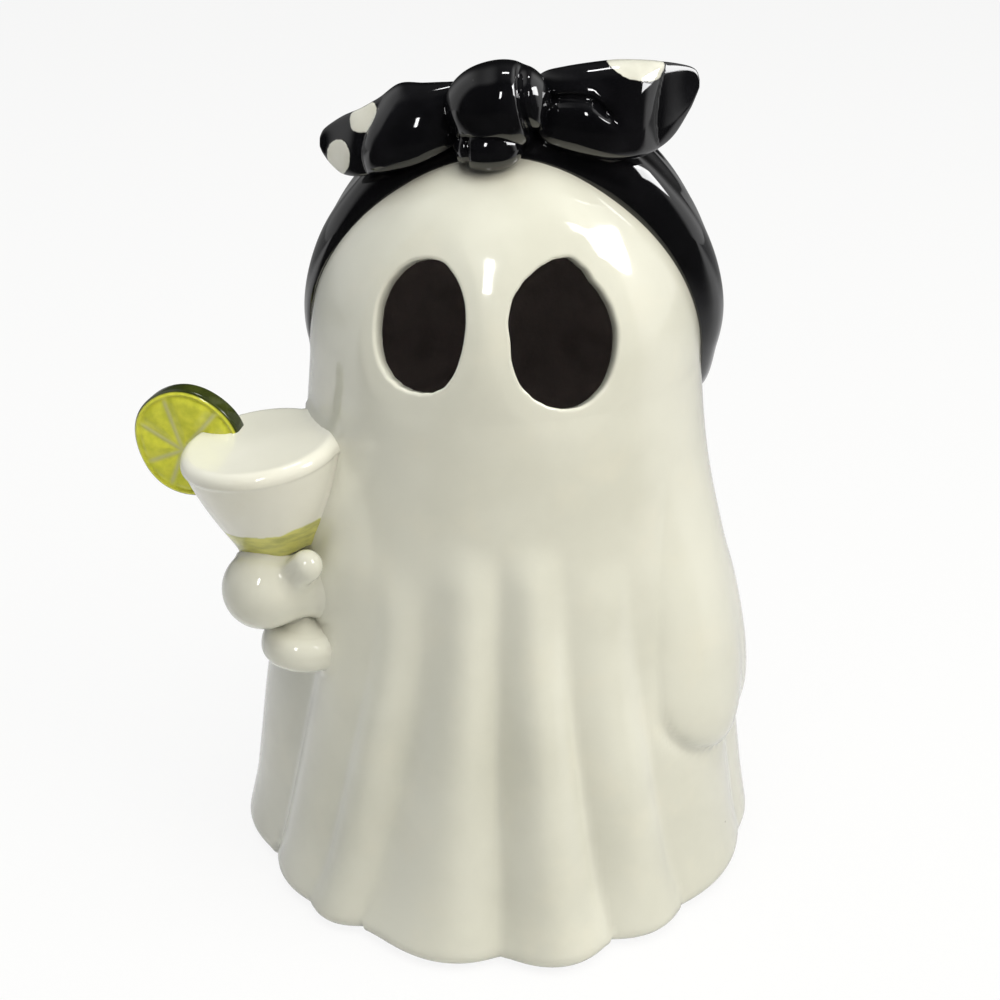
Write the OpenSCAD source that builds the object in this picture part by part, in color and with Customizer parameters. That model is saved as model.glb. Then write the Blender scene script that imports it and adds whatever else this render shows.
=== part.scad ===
// Ceramic ghost figure with a dotted headscarf and a lime-topped glass, lit from inside.
// The front of the figure faces -Y, +Z is up, and the origin is on the table under the head's axis.

/* [Body] */
// Height of the bare head above the table
body_h = 211; // [195:1:230]
// Radius of the head where it is widest
head_r = 53; // [50:1:56]
// Height at which the head is widest
head_z = 150; // [142:1:158]
// Radius of the hem in the valleys between its folds
hem_r = 70.5; // [68:0.5:75]
// How far the hem stands forward of the head
hem_forward = 4; // [0:0.5:6]
// Radius that rounds the edge of the hem
hem_round = 5; // [3:0.5:6]
// Height of the hem's edge above the foot ring
hem_lift = 0.8; // [0.4:0.1:1.2]
// Thickness of the cast wall
wall = 4.5; // [3.5:0.5:6]

/* [Folds] */
// Height at which the folds begin
fold_top = 116; // [100:1:130]
// Length over which a fold swells to its full depth
fold_ramp = 70; // [50:1:90]
// Depth of a full fold
fold_depth = 5.4; // [3:0.2:6]
// Length over which a fold's rounded top comes out of the body
fold_start = 14; // [8:1:20]
// How far the folds kick out at the hem
hem_kick = 1.6; // [0:0.2:3]
// Height of the kick at the hem
kick_h = 22; // [12:1:30]

/* [Hanging arm] */
// Direction of the hanging arm, from the front towards +X
arm_angle = 71; // [65:1:85]
// Height of the hand's widest place
hand_z = 68; // [60:1:76]
// Length of the rounded fingertips below it
hand_drop = 25; // [20:1:30]
// Height of the shoulder, where the arm begins
shoulder_z = 140; // [130:1:146]
// Half width of the hand under the sheet
hand_w = 31; // [24:1:35]
// How far the hand stands out of the body
hand_depth = 7.4; // [5:0.2:10]

/* [Sleeve] */
// Direction of the raised arm, from the front towards -X
sleeve_angle = 53; // [48:1:60]
// Height of the raised wrist
sleeve_z = 106; // [98:1:112]
// Half height of the sleeve's swelling
sleeve_h = 30; // [22:1:34]
// Half width of the sleeve's swelling
sleeve_w = 22; // [16:1:26]
// How far the sleeve stands out of the body
sleeve_depth = 4; // [2:0.5:6]

/* [Eyes] */
// Direction of the left-hand eye, seen from the front
left_eye_angle = -22.5; // [-25:0.5:-19]
// Height of the left-hand eye's centre above the head's widest place
left_eye_rise = 21.4; // [18:0.1:26]
// Width of the left-hand eye
left_eye_w = 23.8; // [20:0.1:25]
// Height of the left-hand eye
left_eye_h = 35.3; // [30:0.1:37]
// Direction of the right-hand eye, seen from the front
right_eye_angle = 22.5; // [21:0.5:25]
// Height of the right-hand eye's centre above the head's widest place
right_eye_rise = 21.3; // [18:0.1:26]
// Width of the right-hand eye
right_eye_w = 27.4; // [24:0.1:28]
// Height of the right-hand eye
right_eye_h = 38.4; // [34:0.1:40]
// Tilt of both eye cuts, so that they run square to the dome
eye_tilt = 20; // [12:1:26]
// Depth of the soft dish round each eye
socket_depth = 1.4; // [0:0.2:2]

/* [Headscarf] */
// Thickness of the scarf's band at its middle
band_t = 5; // [3.5:0.5:6]
// Width of the band over the head
band_w = 37; // [30:1:40]
// Depth to which applied clay pieces are pressed into their neighbour
lute = 0.4; // [0.3:0.1:0.8]
// Height of the bow's middle above the bare crown
bow_rise = 9; // [7:1:12]
// How far the bow's middle lies in front of the head's axis
bow_forward = 13; // [11:0.5:15]
// Length of the right-hand loop from the middle of the knot
right_loop_l = 49.5; // [44:0.5:52]
// Length of the left-hand loop from the middle of the knot
left_loop_l = 47.5; // [42:1:50]
// Full height of a loop
loop_h = 25; // [21:1:27]
// Greatest thickness of a loop
loop_t = 16; // [12:1:18]
// Half width of the knot
knot_w = 12; // [10:0.5:13]
// Half height of the knot
knot_h = 9.6; // [8:0.2:10.5]
// Half depth of the knot
knot_d = 9; // [7:0.5:10]

/* [Glass and hand] */
// Direction of the foot of the bowl, from the front towards +X
glass_angle = -61; // [-64:1:-56]
// Height of the bottom of the bowl
glass_z = 106; // [103:0.5:108]
// How far the middle of the bowl's bottom stands out from the smooth body
glass_out = 9.6; // [8:0.1:12]
// Radius of the glass at its rim
rim_r = 21.6; // [19:0.1:24]
// Radius of the bowl at its bottom
bowl_r = 12.2; // [11:0.1:15]
// Height of the bowl
bowl_h = 29; // [25:0.5:31]
// Radius that rounds the rim
rim_round = 2.4; // [1.8:0.2:3]
// Depth of the drink below the rim
drink_depth = 1.4; // [1:0.2:4]
// Lean of the glass towards its own side
glass_lean = 8; // [4:1:12]
// Radius of the stem
stem_r = 4.4; // [3:0.1:5]
// Radius of the glass's foot
glass_foot_r = 11; // [9:0.5:12]
// Thickness of the glass's foot
glass_foot_h = 10; // [8:0.5:11]
// Height of the middle of the glass's foot
glass_foot_z = 78; // [76:0.5:80]
// How far the middle of the glass's foot stands out from the smooth body
glass_foot_out = 5.85; // [5:0.05:7]
// Radius of the fist
fist_r = 11; // [10:0.5:12]
// Radius of the thumb
thumb_r = 4.4; // [3.8:0.2:5]
// Radius of the lime slice
lime_r = 15.6; // [13:0.2:16.4]
// Thickness of the lime slice
lime_t = 6.4; // [4:0.2:7]

/* [Light unit] */
// Radius of the opening in the figure's floor
opening_r = 33; // [33:0.5:35]
// Depth of the recess under the floor
recess_depth = 6; // [6:0.5:8]
// Radius of the recess under the floor
recess_r = 38.5; // [38.5:0.5:41]
// Clearance between the housing and the opening
housing_gap = 0.4; // [0.3:0.1:0.6]
// Height of the housing above its flange
housing_h = 18; // [17:1:22]
// Wall thickness of the plastic mouldings
shell_t = 1.6; // [1.4:0.1:1.8]
// Thickness of the housing's flange plate
plate_t = 3; // [2.8:0.1:3.2]
// Thickness of the foam gasket
gasket_t = 0.8; // [0.5:0.1:1]
// Radius of an AAA cell
cell_r = 5.25; // [5:0.05:5.25]
// Length of an AAA cell with its button
cell_l = 44.5; // [43.5:0.1:44.5]
// Running clearance round a cell
cell_gap = 0.4; // [0.2:0.1:0.5]
// Thickness of the battery door
door_t = 1.6; // [1.4:0.1:1.8]
// Clearance round the battery door
door_gap = 0.35; // [0.3:0.05:0.45]
// Radius of the door's hinge pins
pin_r = 0.8; // [0.7:0.05:0.85]
// Running clearance round the hinge pins
pin_gap = 0.05; // [0.03:0.01:0.08]
// Travel of the slide switch
switch_travel = 3; // [2.5:0.5:3.5]
// Radius of the lamp's plastic lens
led_r = 2.5; // [2:0.1:3]

/* [Hidden] */
$fn = 64;

// One overrun serves every cut
overrun = 1;

// Fineness of the lofted skins
skin_sides = 120;
cavity_sides = 48;
flare_rings = 18;
dome_rings = 11;
cavity_flare_rings = 9;
cavity_dome_rings = 7;
fillet_steps = 3;
flare_power = 1.1;

// Valleys between the folds, as directions from the front: at the hem, and where the folds begin
valley_angles = [-180, -157, -136, -117, -97, -63, -42, -28, 3.5, 26.5, 46, 78, 103, 124, 143, 161, 180];
valley_top_angles = [-180, -161, -142, -122, -99, -50, -31, -17, 2.3, 19.5, 38, 74, 108, 128, 147, 164, 180];
// How far each valley stays filled, then for the fold after it: how full it is, where it begins as a share
// of fold_top, and how far its ridge leans over to the far valley
fill_shares = [0, 0, 0, 0, 0, 0, 0.40, 0, 0, 0, 0.06, 0.05, 0, 0, 0, 0, 0];
fold_shares = [0.6, 0.75, 0.6, 0.7, 0.95, 0.42, 0.62, 1.05, 1.25, 0.7, 0.36, 0.38, 0.65, 0.6, 0.75, 0.6];
fold_start_shares = [0.97, 0.99, 0.95, 0.97, 1, 0.83, 0.94, 1.02,
    1.03, 0.97, 0.93, 0.86, 0.97, 0.98, 0.95, 0.97];
fold_lean_shares = [1, 1, 1, 1, 1, 1, 1, 1.35, 1.05, 1, 1, 1, 1, 1, 1, 1];
// Upper folds are narrow fingers and lower ones broad, and every valley is softly rounded
narrow_power = 1.5;
broad_power = 0.85;
valley_soft_share = 0.16;
drift_power = 1.3;
start_share = 0.34;

function clamp01(t) = max(0, min(1, t));
function smooth(t) = let (c = clamp01(t)) c * c * (3 - 2 * c);

// Direction of valley i at height z
function valley(i, z) = valley_top_angles[i]
    + (valley_angles[i] - valley_top_angles[i]) * pow(clamp01(1 - z / (fold_top * 0.74)), drift_power);
function fold_at(a, z, i = 0) = i < len(fold_shares) - 1 && a >= valley(i + 1, z) ? fold_at(a, z, i + 1) : i;
// How far a fold that begins at height top has come out at height z
function fold_growth(z, top) = start_share * smooth((top - z) / fold_start)
    + (1 - start_share) * smooth((top - z) / fold_ramp);
// An arch between two valleys, from 0 to 1, at share t of the way across
function fold_arch(t, power) = (softened(sin(180 * t), power) - softened(0, power))
    / (softened(1, power) - softened(0, power));
function softened(wave, power) = pow(wave * wave + valley_soft_share * valley_soft_share, power / 2);
function fold_out(a, z) = let (i = fold_at(a, z),
        t = clamp01((a - valley(i, z)) / (valley(i + 1, z) - valley(i, z))),
        power = broad_power + (narrow_power - broad_power) * smooth(z / (fold_top * 0.474) - 0.9),
        full = fold_shares[i] * fold_arch(pow(t, fold_lean_shares[i]), power),
        fill = fill_shares[i] * (1 - t) + fill_shares[i + 1] * t)
    fold_depth * (full * fold_growth(z, fold_top * fold_start_shares[i]) + fill * fold_growth(z, fold_top))
        + (full + fill) * hem_kick * smooth((kick_h - z) / kick_h);

// Arc from direction b to direction a on the body, as a length
function arc_from(a, b, r) = (a - b) * PI / 180 * r;
function hanging_arm(a, z) = let (rise = clamp01((z - hand_z) / (shoulder_z - hand_z)),
        w = hand_w * (1 - shoulder_share * smooth(rise)),
        across = arc_from(a, arm_angle, hem_r - hem_round) / w,
        below = max(0, hand_z - z) / hand_drop,
        d = across * across + below * below)
    hand_depth * (1 - smooth(rise)) * pow(max(0, 1 - d), arm_roundness);
shoulder_share = 0.35;
arm_roundness = 0.8;
function sleeve(a, z) = let (across = arc_from(a, -sleeve_angle, head_r + hem_round) / sleeve_w,
        up = (z - sleeve_z) / sleeve_h,
        d = across * across + up * up)
    sleeve_depth * pow(max(0, 1 - d), 1.5);
function socket(a, z, eye_a, eye_z, eye_w, eye_h) =
    let (across = arc_from(a, eye_a, head_r) / (eye_w * socket_reach_share),
        up = (z - eye_z) / (eye_h * socket_reach_share),
        d = across * across + up * up)
    socket_depth * pow(max(0, 1 - d), 1.5);
socket_reach_share = 0.85;

// Radius of the smooth body at height z, taken in by inset
function smooth_r(z, inset) = z <= head_z
    ? head_r + (hem_r - head_r) * pow(1 - z / head_z, flare_power) - inset
    : (head_r - inset) * sqrt(max(0, 1 - pow((z - head_z) / (body_h - inset - head_z), 2)));
function skin_r(a, z, inset, fold_share = 1) = smooth_r(z, inset)
    + hem_forward * cos(a) * clamp01(1 - z / head_z)
    + fold_share * fold_out(a, z) + hanging_arm(a, z) + sleeve(a, z)
    - socket(a, z, left_eye_angle, left_eye_z, left_eye_w, left_eye_h)
    - socket(a, z, right_eye_angle, right_eye_z, right_eye_w, right_eye_h);
// A point in direction a from the front, towards +X
function around(a, r, z) = [r * sin(a), -r * cos(a), z];

// Heights of the rings from a bottom height up to just below the crown
function ring_heights(bottom, inset, flares, domes) = concat(
    [for (i = [0 : flares]) bottom + (head_z - bottom) * i / flares],
    [for (i = [1 : domes]) head_z + (body_h - inset - head_z) * sin(90 * i / (domes + 1))]);

// A closed solid through rings of equal length, with flat ends
module loft(rings) {
    n = len(rings[0]);
    m = len(rings);
    ends = [for (k = [0, m - 1]) [for (c = [0 : 2]) mean([for (p = rings[k]) p[c]])]];
    polyhedron(
        points = concat([for (ring = rings) each ring], ends),
        faces = concat(
            [for (i = [0 : m - 2]) for (j = [0 : n - 1]) each
                [[i * n + j, i * n + (j + 1) % n, (i + 1) * n + j],
                 [i * n + (j + 1) % n, (i + 1) * n + (j + 1) % n, (i + 1) * n + j]]],
            [for (j = [0 : n - 1]) [m * n, (j + 1) % n, j]],
            [for (j = [0 : n - 1]) [m * n + 1, (m - 1) * n + j, (m - 1) * n + (j + 1) % n]]));
}
function mean(v) = sum(v) / len(v);
function sum(v, i = 0) = i == len(v) ? 0 : v[i] + sum(v, i + 1);

// A closed skin whose last ring shrinks to one point on the axis
module capped_skin(rings, crown_z) {
    n = len(rings[0]);
    m = len(rings);
    polyhedron(
        points = concat([for (ring = rings) each ring], [[0, 0, rings[0][0][2]], [0, 0, crown_z]]),
        faces = concat(
            [for (i = [0 : m - 2]) for (j = [0 : n - 1]) each
                [[i * n + j, (i + 1) * n + j, i * n + (j + 1) % n],
                 [i * n + (j + 1) % n, (i + 1) * n + j, (i + 1) * n + (j + 1) % n]]],
            [for (j = [0 : n - 1]) [m * n, j, (j + 1) % n]],
            [for (j = [0 : n - 1]) [m * n + 1, (m - 1) * n + (j + 1) % n, (m - 1) * n + j]]));
}
function skin_angle(j, sides) = -180 + 360 * j / sides;
module body_outer() {
    fillet = [for (k = [0 : fillet_steps - 1]) let (b = 90 * k / fillet_steps)
        [hem_lift + hem_round * (1 - cos(b)), hem_round * (1 - sin(b))]];
    upper = [for (z = ring_heights(hem_lift + hem_round, 0, flare_rings, dome_rings)) [z, 0]];
    capped_skin([for (ring = concat(fillet, upper))
        [for (j = [0 : skin_sides - 1]) let (a = skin_angle(j, skin_sides))
            around(a, skin_r(a, ring[0], 0) - ring[1], ring[0])]], body_h);
}
module body_cavity() {
    capped_skin([for (z = ring_heights(wall, wall, cavity_flare_rings, cavity_dome_rings))
        [for (j = [0 : cavity_sides - 1]) let (a = skin_angle(j, cavity_sides),
                r = skin_r(a, z, wall, inside_fold_share))
            around(a, r - (z == wall ? hem_round : 0), z)]], body_h - wall);
}
// The slip evens out the folds on the inside of the cast
inside_fold_share = 0.5;

left_eye_z = head_z + left_eye_rise;
right_eye_z = head_z + right_eye_rise;
// Outlines of the hand-cut eyes: reach from the centre, every 15 degrees from +X, as shares of half the size
left_eye_shares = [1.0, 1.015, 1.03, 1.03, 1.03, 1.05, 1.045, 1.05, 1.08, 1.10, 1.12, 1.12,
    1.09, 1.07, 1.05, 1.0, 0.94, 0.90, 0.88, 0.90, 0.95, 1.0, 1.01, 1.0];
right_eye_shares = [1.01, 0.98, 0.945, 0.925, 0.99, 1.04, 1.01, 0.985, 0.985, 1.02, 1.065, 1.07,
    1.035, 1.075, 1.085, 1.045, 1.005, 0.98, 0.975, 0.985, 0.995, 1.01, 1.01, 1.01];
eye_steps = 36;
function eye_share(shares, t) = let (n = len(shares), k = t / 360 * n, i = floor(k), f = smooth(k - i))
    shares[i % n] * (1 - f) + shares[(i + 1) % n] * f;
function eye_outline(w, h, shares) = [for (k = [0 : eye_steps - 1]) let (t = 360 * k / eye_steps)
    eye_share(shares, t) * [w / 2 * cos(t), h / 2 * sin(t)]];
module eye_cut(angle, z, w, h, shares) {
    r = smooth_r(z, 0);
    translate(around(angle, r, z)) rotate([0, 0, angle]) rotate([90 - eye_tilt, 0, 0])
        translate([0, 0, -head_r / 2]) linear_extrude(head_r)
            polygon(eye_outline(w, h * eye_slant_share, shares));
}
// The tilted cut meets the dome at a slant, so its own height is a little less than the eye's
eye_slant_share = 0.98;

// The floor of the figure: a boss round the light unit, and a flat foot ring
boss_r = recess_r + wall;
boss_top = recess_depth + wall;
foot_r = hem_r - hem_round - hem_forward - hem_lift;
foot_t = hem_lift + wall / 2;

module ghost_body() {
    color("ivory") difference() {
        union() {
            difference() {
                body_outer();
                body_cavity();
            }
            cylinder(r = boss_r, h = boss_top);
            cylinder(r = foot_r, h = foot_t);
        }
        translate([0, 0, -overrun]) cylinder(r = recess_r, h = recess_depth + overrun);
        cylinder(r = opening_r, h = boss_top + overrun);
        eye_cut(left_eye_angle, left_eye_z, left_eye_w, left_eye_h, left_eye_shares);
        eye_cut(right_eye_angle, right_eye_z, right_eye_w, right_eye_h, right_eye_shares);
    }
}

// Headscarf. Glaze black is the colour of every scarf piece.
scarf_black = [0.03, 0.03, 0.035];

// A point moved radially so that it lies grow above the bare head or body
function on_skin(p, grow) = p[2] >= head_z
    ? let (q = [p[0], p[1], p[2] - head_z], a = head_r + grow, b = body_h - head_z + grow,
        e = sqrt((q[0] * q[0] + q[1] * q[1]) / (a * a) + q[2] * q[2] / (b * b)))
        [q[0] / e, q[1] / e, head_z + q[2] / e]
    : let (r = norm([p[0], p[1]]), s = (smooth_r(p[2], 0) + grow) / r) [p[0] * s, p[1] * s, p[2]];
// The same, but only for points that lie deeper than grow
function rest_on(p, grow) = let (q = on_skin(p, grow))
    norm(q - [0, 0, head_z]) > norm(p - [0, 0, head_z]) ? q : p;

// A smooth curve through the rows of a table; row k is met at t = k
function blend(p, q, r, u, f) = q
    + f / 2 * (r - p + f * (2 * p - 5 * q + 4 * r - u + f * (3 * (q - r) + u - p)));
function through(v, t) = let (n = len(v) - 1, i = min(floor(t), n - 1), f = t - i)
    blend(v[max(i - 1, 0)], v[i], v[i + 1], v[min(i + 2, n)], f);
function round_through(v, t) = let (n = len(v), i = floor(t), f = t - i)
    blend(v[(i + n - 1) % n], v[i % n], v[(i + 1) % n], v[(i + 2) % n], f);

// Half of the band's middle line from the crown to the nape: height above the head's widest place
// as a share of the dome's height, sideways and backward reach as shares of the head's radius,
// then the band's width and its thickness as shares of the full ones
band_shares = [[1, 0, 0, 0.90, 0.9], [0.95, 0.30, 0.01, 0.96, 1.1], [0.84, 0.54, 0.02, 1.0, 1.35],
    [0.68, 0.73, 0.05, 1.0, 1.25], [0.48, 0.87, 0.10, 0.98, 1.1], [0.26, 0.95, 0.18, 0.94, 0.9],
    [0.08, 0.96, 0.29, 0.90, 0.6], [-0.08, 0.90, 0.44, 0.86, 0.5], [-0.20, 0.76, 0.66, 0.84, 0.6],
    [-0.27, 0.55, 0.85, 0.82, 0.7], [-0.31, 0.28, 0.97, 0.82, 0.8], [-0.32, 0, 1.0, 0.82, 0.8]];
// The band is fuller on the +X side
band_side_share = 0.5;
band_edge_power = 3;
band_top_points = 8;
band_under_points = 6;
band_stations = 48;
n_half = len(band_shares) - 1;
// The whole ring: the first half runs down the +X side, the second half back up the -X side
band_ring_shares = [for (k = [0 : 2 * n_half - 1]) let (s = band_shares[k <= n_half ? k : 2 * n_half - k])
    [s[0], k <= n_half ? s[1] : -s[1], s[2], s[3], s[4]]];
function band_row(k) =
    round_through(band_ring_shares, 2 * n_half * ((k + band_stations) % band_stations) / band_stations);
function band_centre(k) = let (s = band_row(k))
    on_skin([s[1] * head_r, s[2] * head_r, head_z + s[0] * (body_h - head_z)], 0);
function band_station(k) = let (c = band_centre(k), s = band_row(k),
        ahead = band_centre(k + 1), behind = band_centre(k - 1),
        run = (ahead - behind) / norm(ahead - behind),
        out = (on_skin(c, band_t) - c) / norm(on_skin(c, band_t) - c),
        across = cross(out, run) / norm(cross(out, run)),
        w = band_w * s[3] / 2,
        t = band_t * s[4] * (1 + band_side_share * c[0] / head_r))
    concat(
        [for (i = [0 : band_top_points]) let (u = 1 - 2 * i / band_top_points)
            on_skin(c + across * u * w, t * sqrt(1 - pow(abs(u), band_edge_power)))],
        [for (i = [0 : band_under_points]) let (u = 2 * i / band_under_points - 1)
            on_skin(c + across * u * (w - lute), -lute)]);
module scarf_band() {
    color(scarf_black) loop_loft([for (k = [0 : band_stations - 1]) band_station(k)]);
}

// A closed solid through rings that meet end to end
module loop_loft(rings) {
    n = len(rings[0]);
    m = len(rings);
    polyhedron(
        points = [for (ring = rings) each ring],
        faces = [for (i = [0 : m - 1]) for (j = [0 : n - 1]) let (k = (i + 1) % m, l = (j + 1) % n) each
            [[i * n + j, k * n + j, i * n + l], [i * n + l, k * n + j, k * n + l]]]);
}

// A rounded lump: centre, half sizes, roll about Y, resting at most grow above the bare head
module lump(centre, half, roll, grow, sides, rows) {
    loft([for (i = [0 : rows]) let (b = 180 * (i + lump_end_share) / (rows + 2 * lump_end_share) - 90)
        [for (j = [0 : sides - 1]) let (a = 360 * j / sides,
                x = half[0] * cos(b) * cos(a), y = half[1] * cos(b) * sin(a), z = half[2] * sin(b))
            rest_on(centre + [x * cos(roll) + z * sin(roll), y, z * cos(roll) - x * sin(roll)], grow)]]);
}
lump_end_share = 0.25;
bow_roll = -8;
bow_z = body_h + bow_rise;
knot_centre = [-lute, -bow_forward, bow_z];
module bow_knot() {
    color(scarf_black) lump(knot_centre, [knot_w, knot_d, knot_h], bow_roll, band_t - lute, 24, 12);
}
// The tuck is the folded end of the scarf that shows below the knot
tuck_w = knot_w * 0.75;
tuck_d = knot_d * 0.72;
tuck_h = knot_h * 0.62;
module bow_tuck() {
    color(scarf_black) lump(knot_centre + [-knot_w * 0.22, -knot_d * 0.72, -knot_h * 1.08],
        [tuck_w, tuck_d, tuck_h], 0, -lute, 20, 10);
}

// Loops: along the loop, then the top and bottom edge about the bow's middle as shares of the
// loop's height, then thickness as a share of the loop's thickness
right_loop_shares = [[0.15, 0.24, -0.20, 0.50], [0.22, 0.33, -0.40, 0.74], [0.31, 0.37, -0.48, 0.90],
    [0.44, 0.41, -0.55, 1.0], [0.57, 0.435, -0.60, 0.98], [0.70, 0.43, -0.58, 0.86],
    [0.80, 0.42, -0.48, 0.72], [0.88, 0.41, -0.32, 0.60], [0.95, 0.385, -0.06, 0.46],
    [0.985, 0.34, 0.10, 0.30], [1.0, 0.26, 0.18, 0.10]];
left_loop_shares = [[0.15, 0.18, -0.28, 0.50], [0.22, 0.21, -0.48, 0.74], [0.31, 0.20, -0.58, 0.90],
    [0.42, 0.16, -0.68, 1.0], [0.55, 0.10, -0.76, 0.98], [0.66, -0.02, -0.82, 0.84],
    [0.76, -0.12, -0.86, 0.70], [0.86, -0.18, -0.84, 0.60], [0.93, -0.26, -0.74, 0.46],
    [0.98, -0.34, -0.62, 0.30], [1.0, -0.42, -0.54, 0.10]];
loop_sides = 24;
loop_stations = 20;
module bow_loop(length, shares, side) {
    loft([for (k = [0 : loop_stations]) let (s = through(shares, (len(shares) - 1) * k / loop_stations),
            top = s[1] * loop_h, low = s[2] * loop_h, half = s[3] * loop_t / 2,
            back = loop_sweep * s[0] * s[0])
        [for (j = [0 : loop_sides - 1]) let (a = 360 * j / loop_sides)
            rest_on([side * s[0] * length, half * sin(a) * side + back - bow_forward,
                bow_z + (top + low) / 2 + (top - low) / 2 * cos(a)], band_t - lute)]]);
}
// How far the loops sweep back towards their tips
loop_sweep = band_t;
module bow_loop_right() { color(scarf_black) bow_loop(right_loop_l, right_loop_shares, 1); }
module bow_loop_left() { color(scarf_black) bow_loop(left_loop_l, left_loop_shares, -1); }

// The glass: the bowl stands on the fist, a short stem runs through it, and the foot hangs below
glass_reach = smooth_r(glass_z, 0) + glass_out;
bowl_base = around(glass_angle, glass_reach, glass_z);
bowl_turn = glass_angle - 14;
module at_bowl() {
    translate(bowl_base) rotate([0, 0, bowl_turn]) rotate([glass_lean, 0, 0]) children();
}
module bowl_shape() {
    rotate_extrude() polygon(concat(
        [[0, 0], [bowl_r - rim_round, 0], [bowl_r, rim_round]],
        [for (b = [-15, 15, 45, 75, 105, 135])
            [rim_r - rim_round + rim_round * cos(b), bowl_h - rim_round + rim_round * sin(b)]],
        [[(rim_r - rim_round) * 0.7, bowl_h - drink_depth * 0.9],
         [(rim_r - rim_round) * 0.4, bowl_h - drink_depth], [0, bowl_h - drink_depth]]));
}
// What the body takes away from pieces pressed against it: its own outline in direction a, turned round
near_steps = 6;
near_low = glass_foot_z - glass_foot_r - glass_foot_h;
near_high = glass_z + bowl_h + bowl_h;
module body_near(a) {
    rotate_extrude() polygon(concat([[0, near_low]],
        [for (k = [0 : near_steps]) let (z = near_low + (near_high - near_low) * k / near_steps)
            [skin_r(a, z, lute), z]],
        [[0, near_high]]));
}
module glass_bowl() {
    color("ivory") difference() {
        at_bowl() bowl_shape();
        body_near(glass_angle);
    }
}
foot_centre = around(glass_angle + 9, smooth_r(glass_foot_z, 0) + glass_foot_out, glass_foot_z);
fist_centre = around(glass_angle + 6, glass_reach + fist_r * 0.75, glass_z - fist_r * 0.92);
thumb_tip = around(glass_angle + 15.5, glass_reach + thumb_r * 0.35, glass_z - lute);
thumb_root = fist_centre + [fist_r * 0.5, 0, fist_r * 0.1];
arm_r = fist_r * 0.84;
arm_root = around(glass_angle + 9, glass_reach - arm_r * 1.4, glass_z - fist_r - thumb_r / 2);
turn_to_body = 10;
function tilt_of(v) = acos(v[2] / norm(v));
function turn_of(v) = atan2(v[1], v[0]);
// A round rod between two points
module rod(a, b, r1, r2) {
    v = b - a;
    translate(a) rotate([0, tilt_of(v), turn_of(v)]) cylinder(r1 = r1, r2 = r2, h = norm(v));
}
stem_top = bowl_base + [0, 0, lute];
module glass_stem() {
    color("ivory") difference() {
        rod(foot_centre, stem_top, stem_r, stem_r);
        at_bowl() bowl_shape();
        foot_solid();
    }
}
module foot_solid() {
    translate(foot_centre) rotate([0, 0, glass_angle]) rotate([-glass_lean, 0, 0])
        translate([0, 0, -glass_foot_h / 2]) rotate_extrude() polygon(foot_profile);
}
foot_profile = concat([[0, 0]],
    [for (k = [0 : 5]) let (b = -90 + 30 * k)
        [glass_foot_r - glass_foot_h / 3 * (1 - cos(b)), glass_foot_h / 2 + glass_foot_h / 2 * sin(b)]],
    [[glass_foot_r - glass_foot_h / 3, glass_foot_h], [0, glass_foot_h]]);
module glass_foot() {
    color("ivory") difference() {
        foot_solid();
        body_near(glass_angle + turn_to_body);
    }
}
module raised_hand() {
    color("ivory") difference() {
        union() {
            translate(fist_centre) sphere(r = fist_r);
            translate(thumb_tip) sphere(r = thumb_r);
            rod(thumb_tip, thumb_root, thumb_r, thumb_r);
            rod(fist_centre, arm_root, arm_r * 0.9, arm_r * 0.95);
            translate(arm_root) sphere(r = arm_r);
        }
        rod(foot_centre, stem_top, stem_r, stem_r);
        at_bowl() bowl_shape();
        foot_solid();
        body_near(glass_angle + turn_to_body);
    }
}
// The lime slice stands in the rim, its face towards the viewer
lime_turn = -12;
lime_edge = lime_t / 4;
module lime_slice() {
    centre = bowl_base + [-rim_r - lime_r * 0.22, rim_r * 0.52, bowl_h - lime_r * 0.41];
    color("yellowgreen") difference() {
        translate(centre) rotate([0, 0, lime_turn]) rotate([90, 0, 0]) rotate_extrude() polygon(
            [[0, -lime_t / 2], [lime_r - lime_edge, -lime_t / 2], [lime_r, lime_edge - lime_t / 2],
             [lime_r, lime_t / 2 - lime_edge], [lime_r - lime_edge, lime_t / 2], [0, lime_t / 2]]);
        at_bowl() bowl_shape();
    }
}

// The light unit: a round plastic housing glued up into the opening in the floor
flange_z = recess_depth - gasket_t - plate_t;
flange_r = recess_r - housing_gap;
housing_r = opening_r - housing_gap;
inner_r = housing_r - shell_t;
floor_top = flange_z + plate_t + shell_t;
housing_top = flange_z + plate_t + housing_h;
// The bay takes three cells side by side along Y, with a spring at one end of each
spring_room = 3.2;
plate_metal_t = 0.4;
cell_pitch = 2 * cell_r + cell_gap;
bay_w = 3 * cell_pitch + cell_gap;
bay_l = cell_l + spring_room + 2 * plate_metal_t;
bay_floor = flange_z + door_t + cell_gap;
cell_z = bay_floor + cell_r;
bay_top = cell_z + cell_r + cell_gap;
roof_top = bay_top + shell_t;
// The door and its hinge along X at the -Y end of the bay
door_w = bay_w + 2 * shell_t;
door_l = bay_l + shell_t;
barrel_r = pin_r + 0.75 * pin_r;
hinge_y = -bay_l / 2 - shell_t - barrel_r;
hinge_z = flange_z + barrel_r;
door_far = bay_l / 2 + shell_t;
barrel_w = door_w / 2;
pin_l = 2 * shell_t;
// The switch slides along Y beside the bay
switch_x = (bay_w / 2 + shell_t + inner_r) / 2;
knob_w = 2.2;
knob_l = 2.8;
cap_w = 3.8;
cap_l = 5;
cap_out = 1.2;
cap_in = 1.1;
slide_gap = 0.4;
switch_w = 5;
switch_l = 10;
switch_h = 4;
knob_top = floor_top + switch_h / 2;
// The lamp and its board
boss_h = 2.4;
board_t = 1.6;
board_r = 13;
screw_ring_r = 9.5;
screw_r = 1;
screw_head_r = 2;
screw_l = 5;
boss_screw_r = 2.8;
board_z = roof_top + boss_h;

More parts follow.
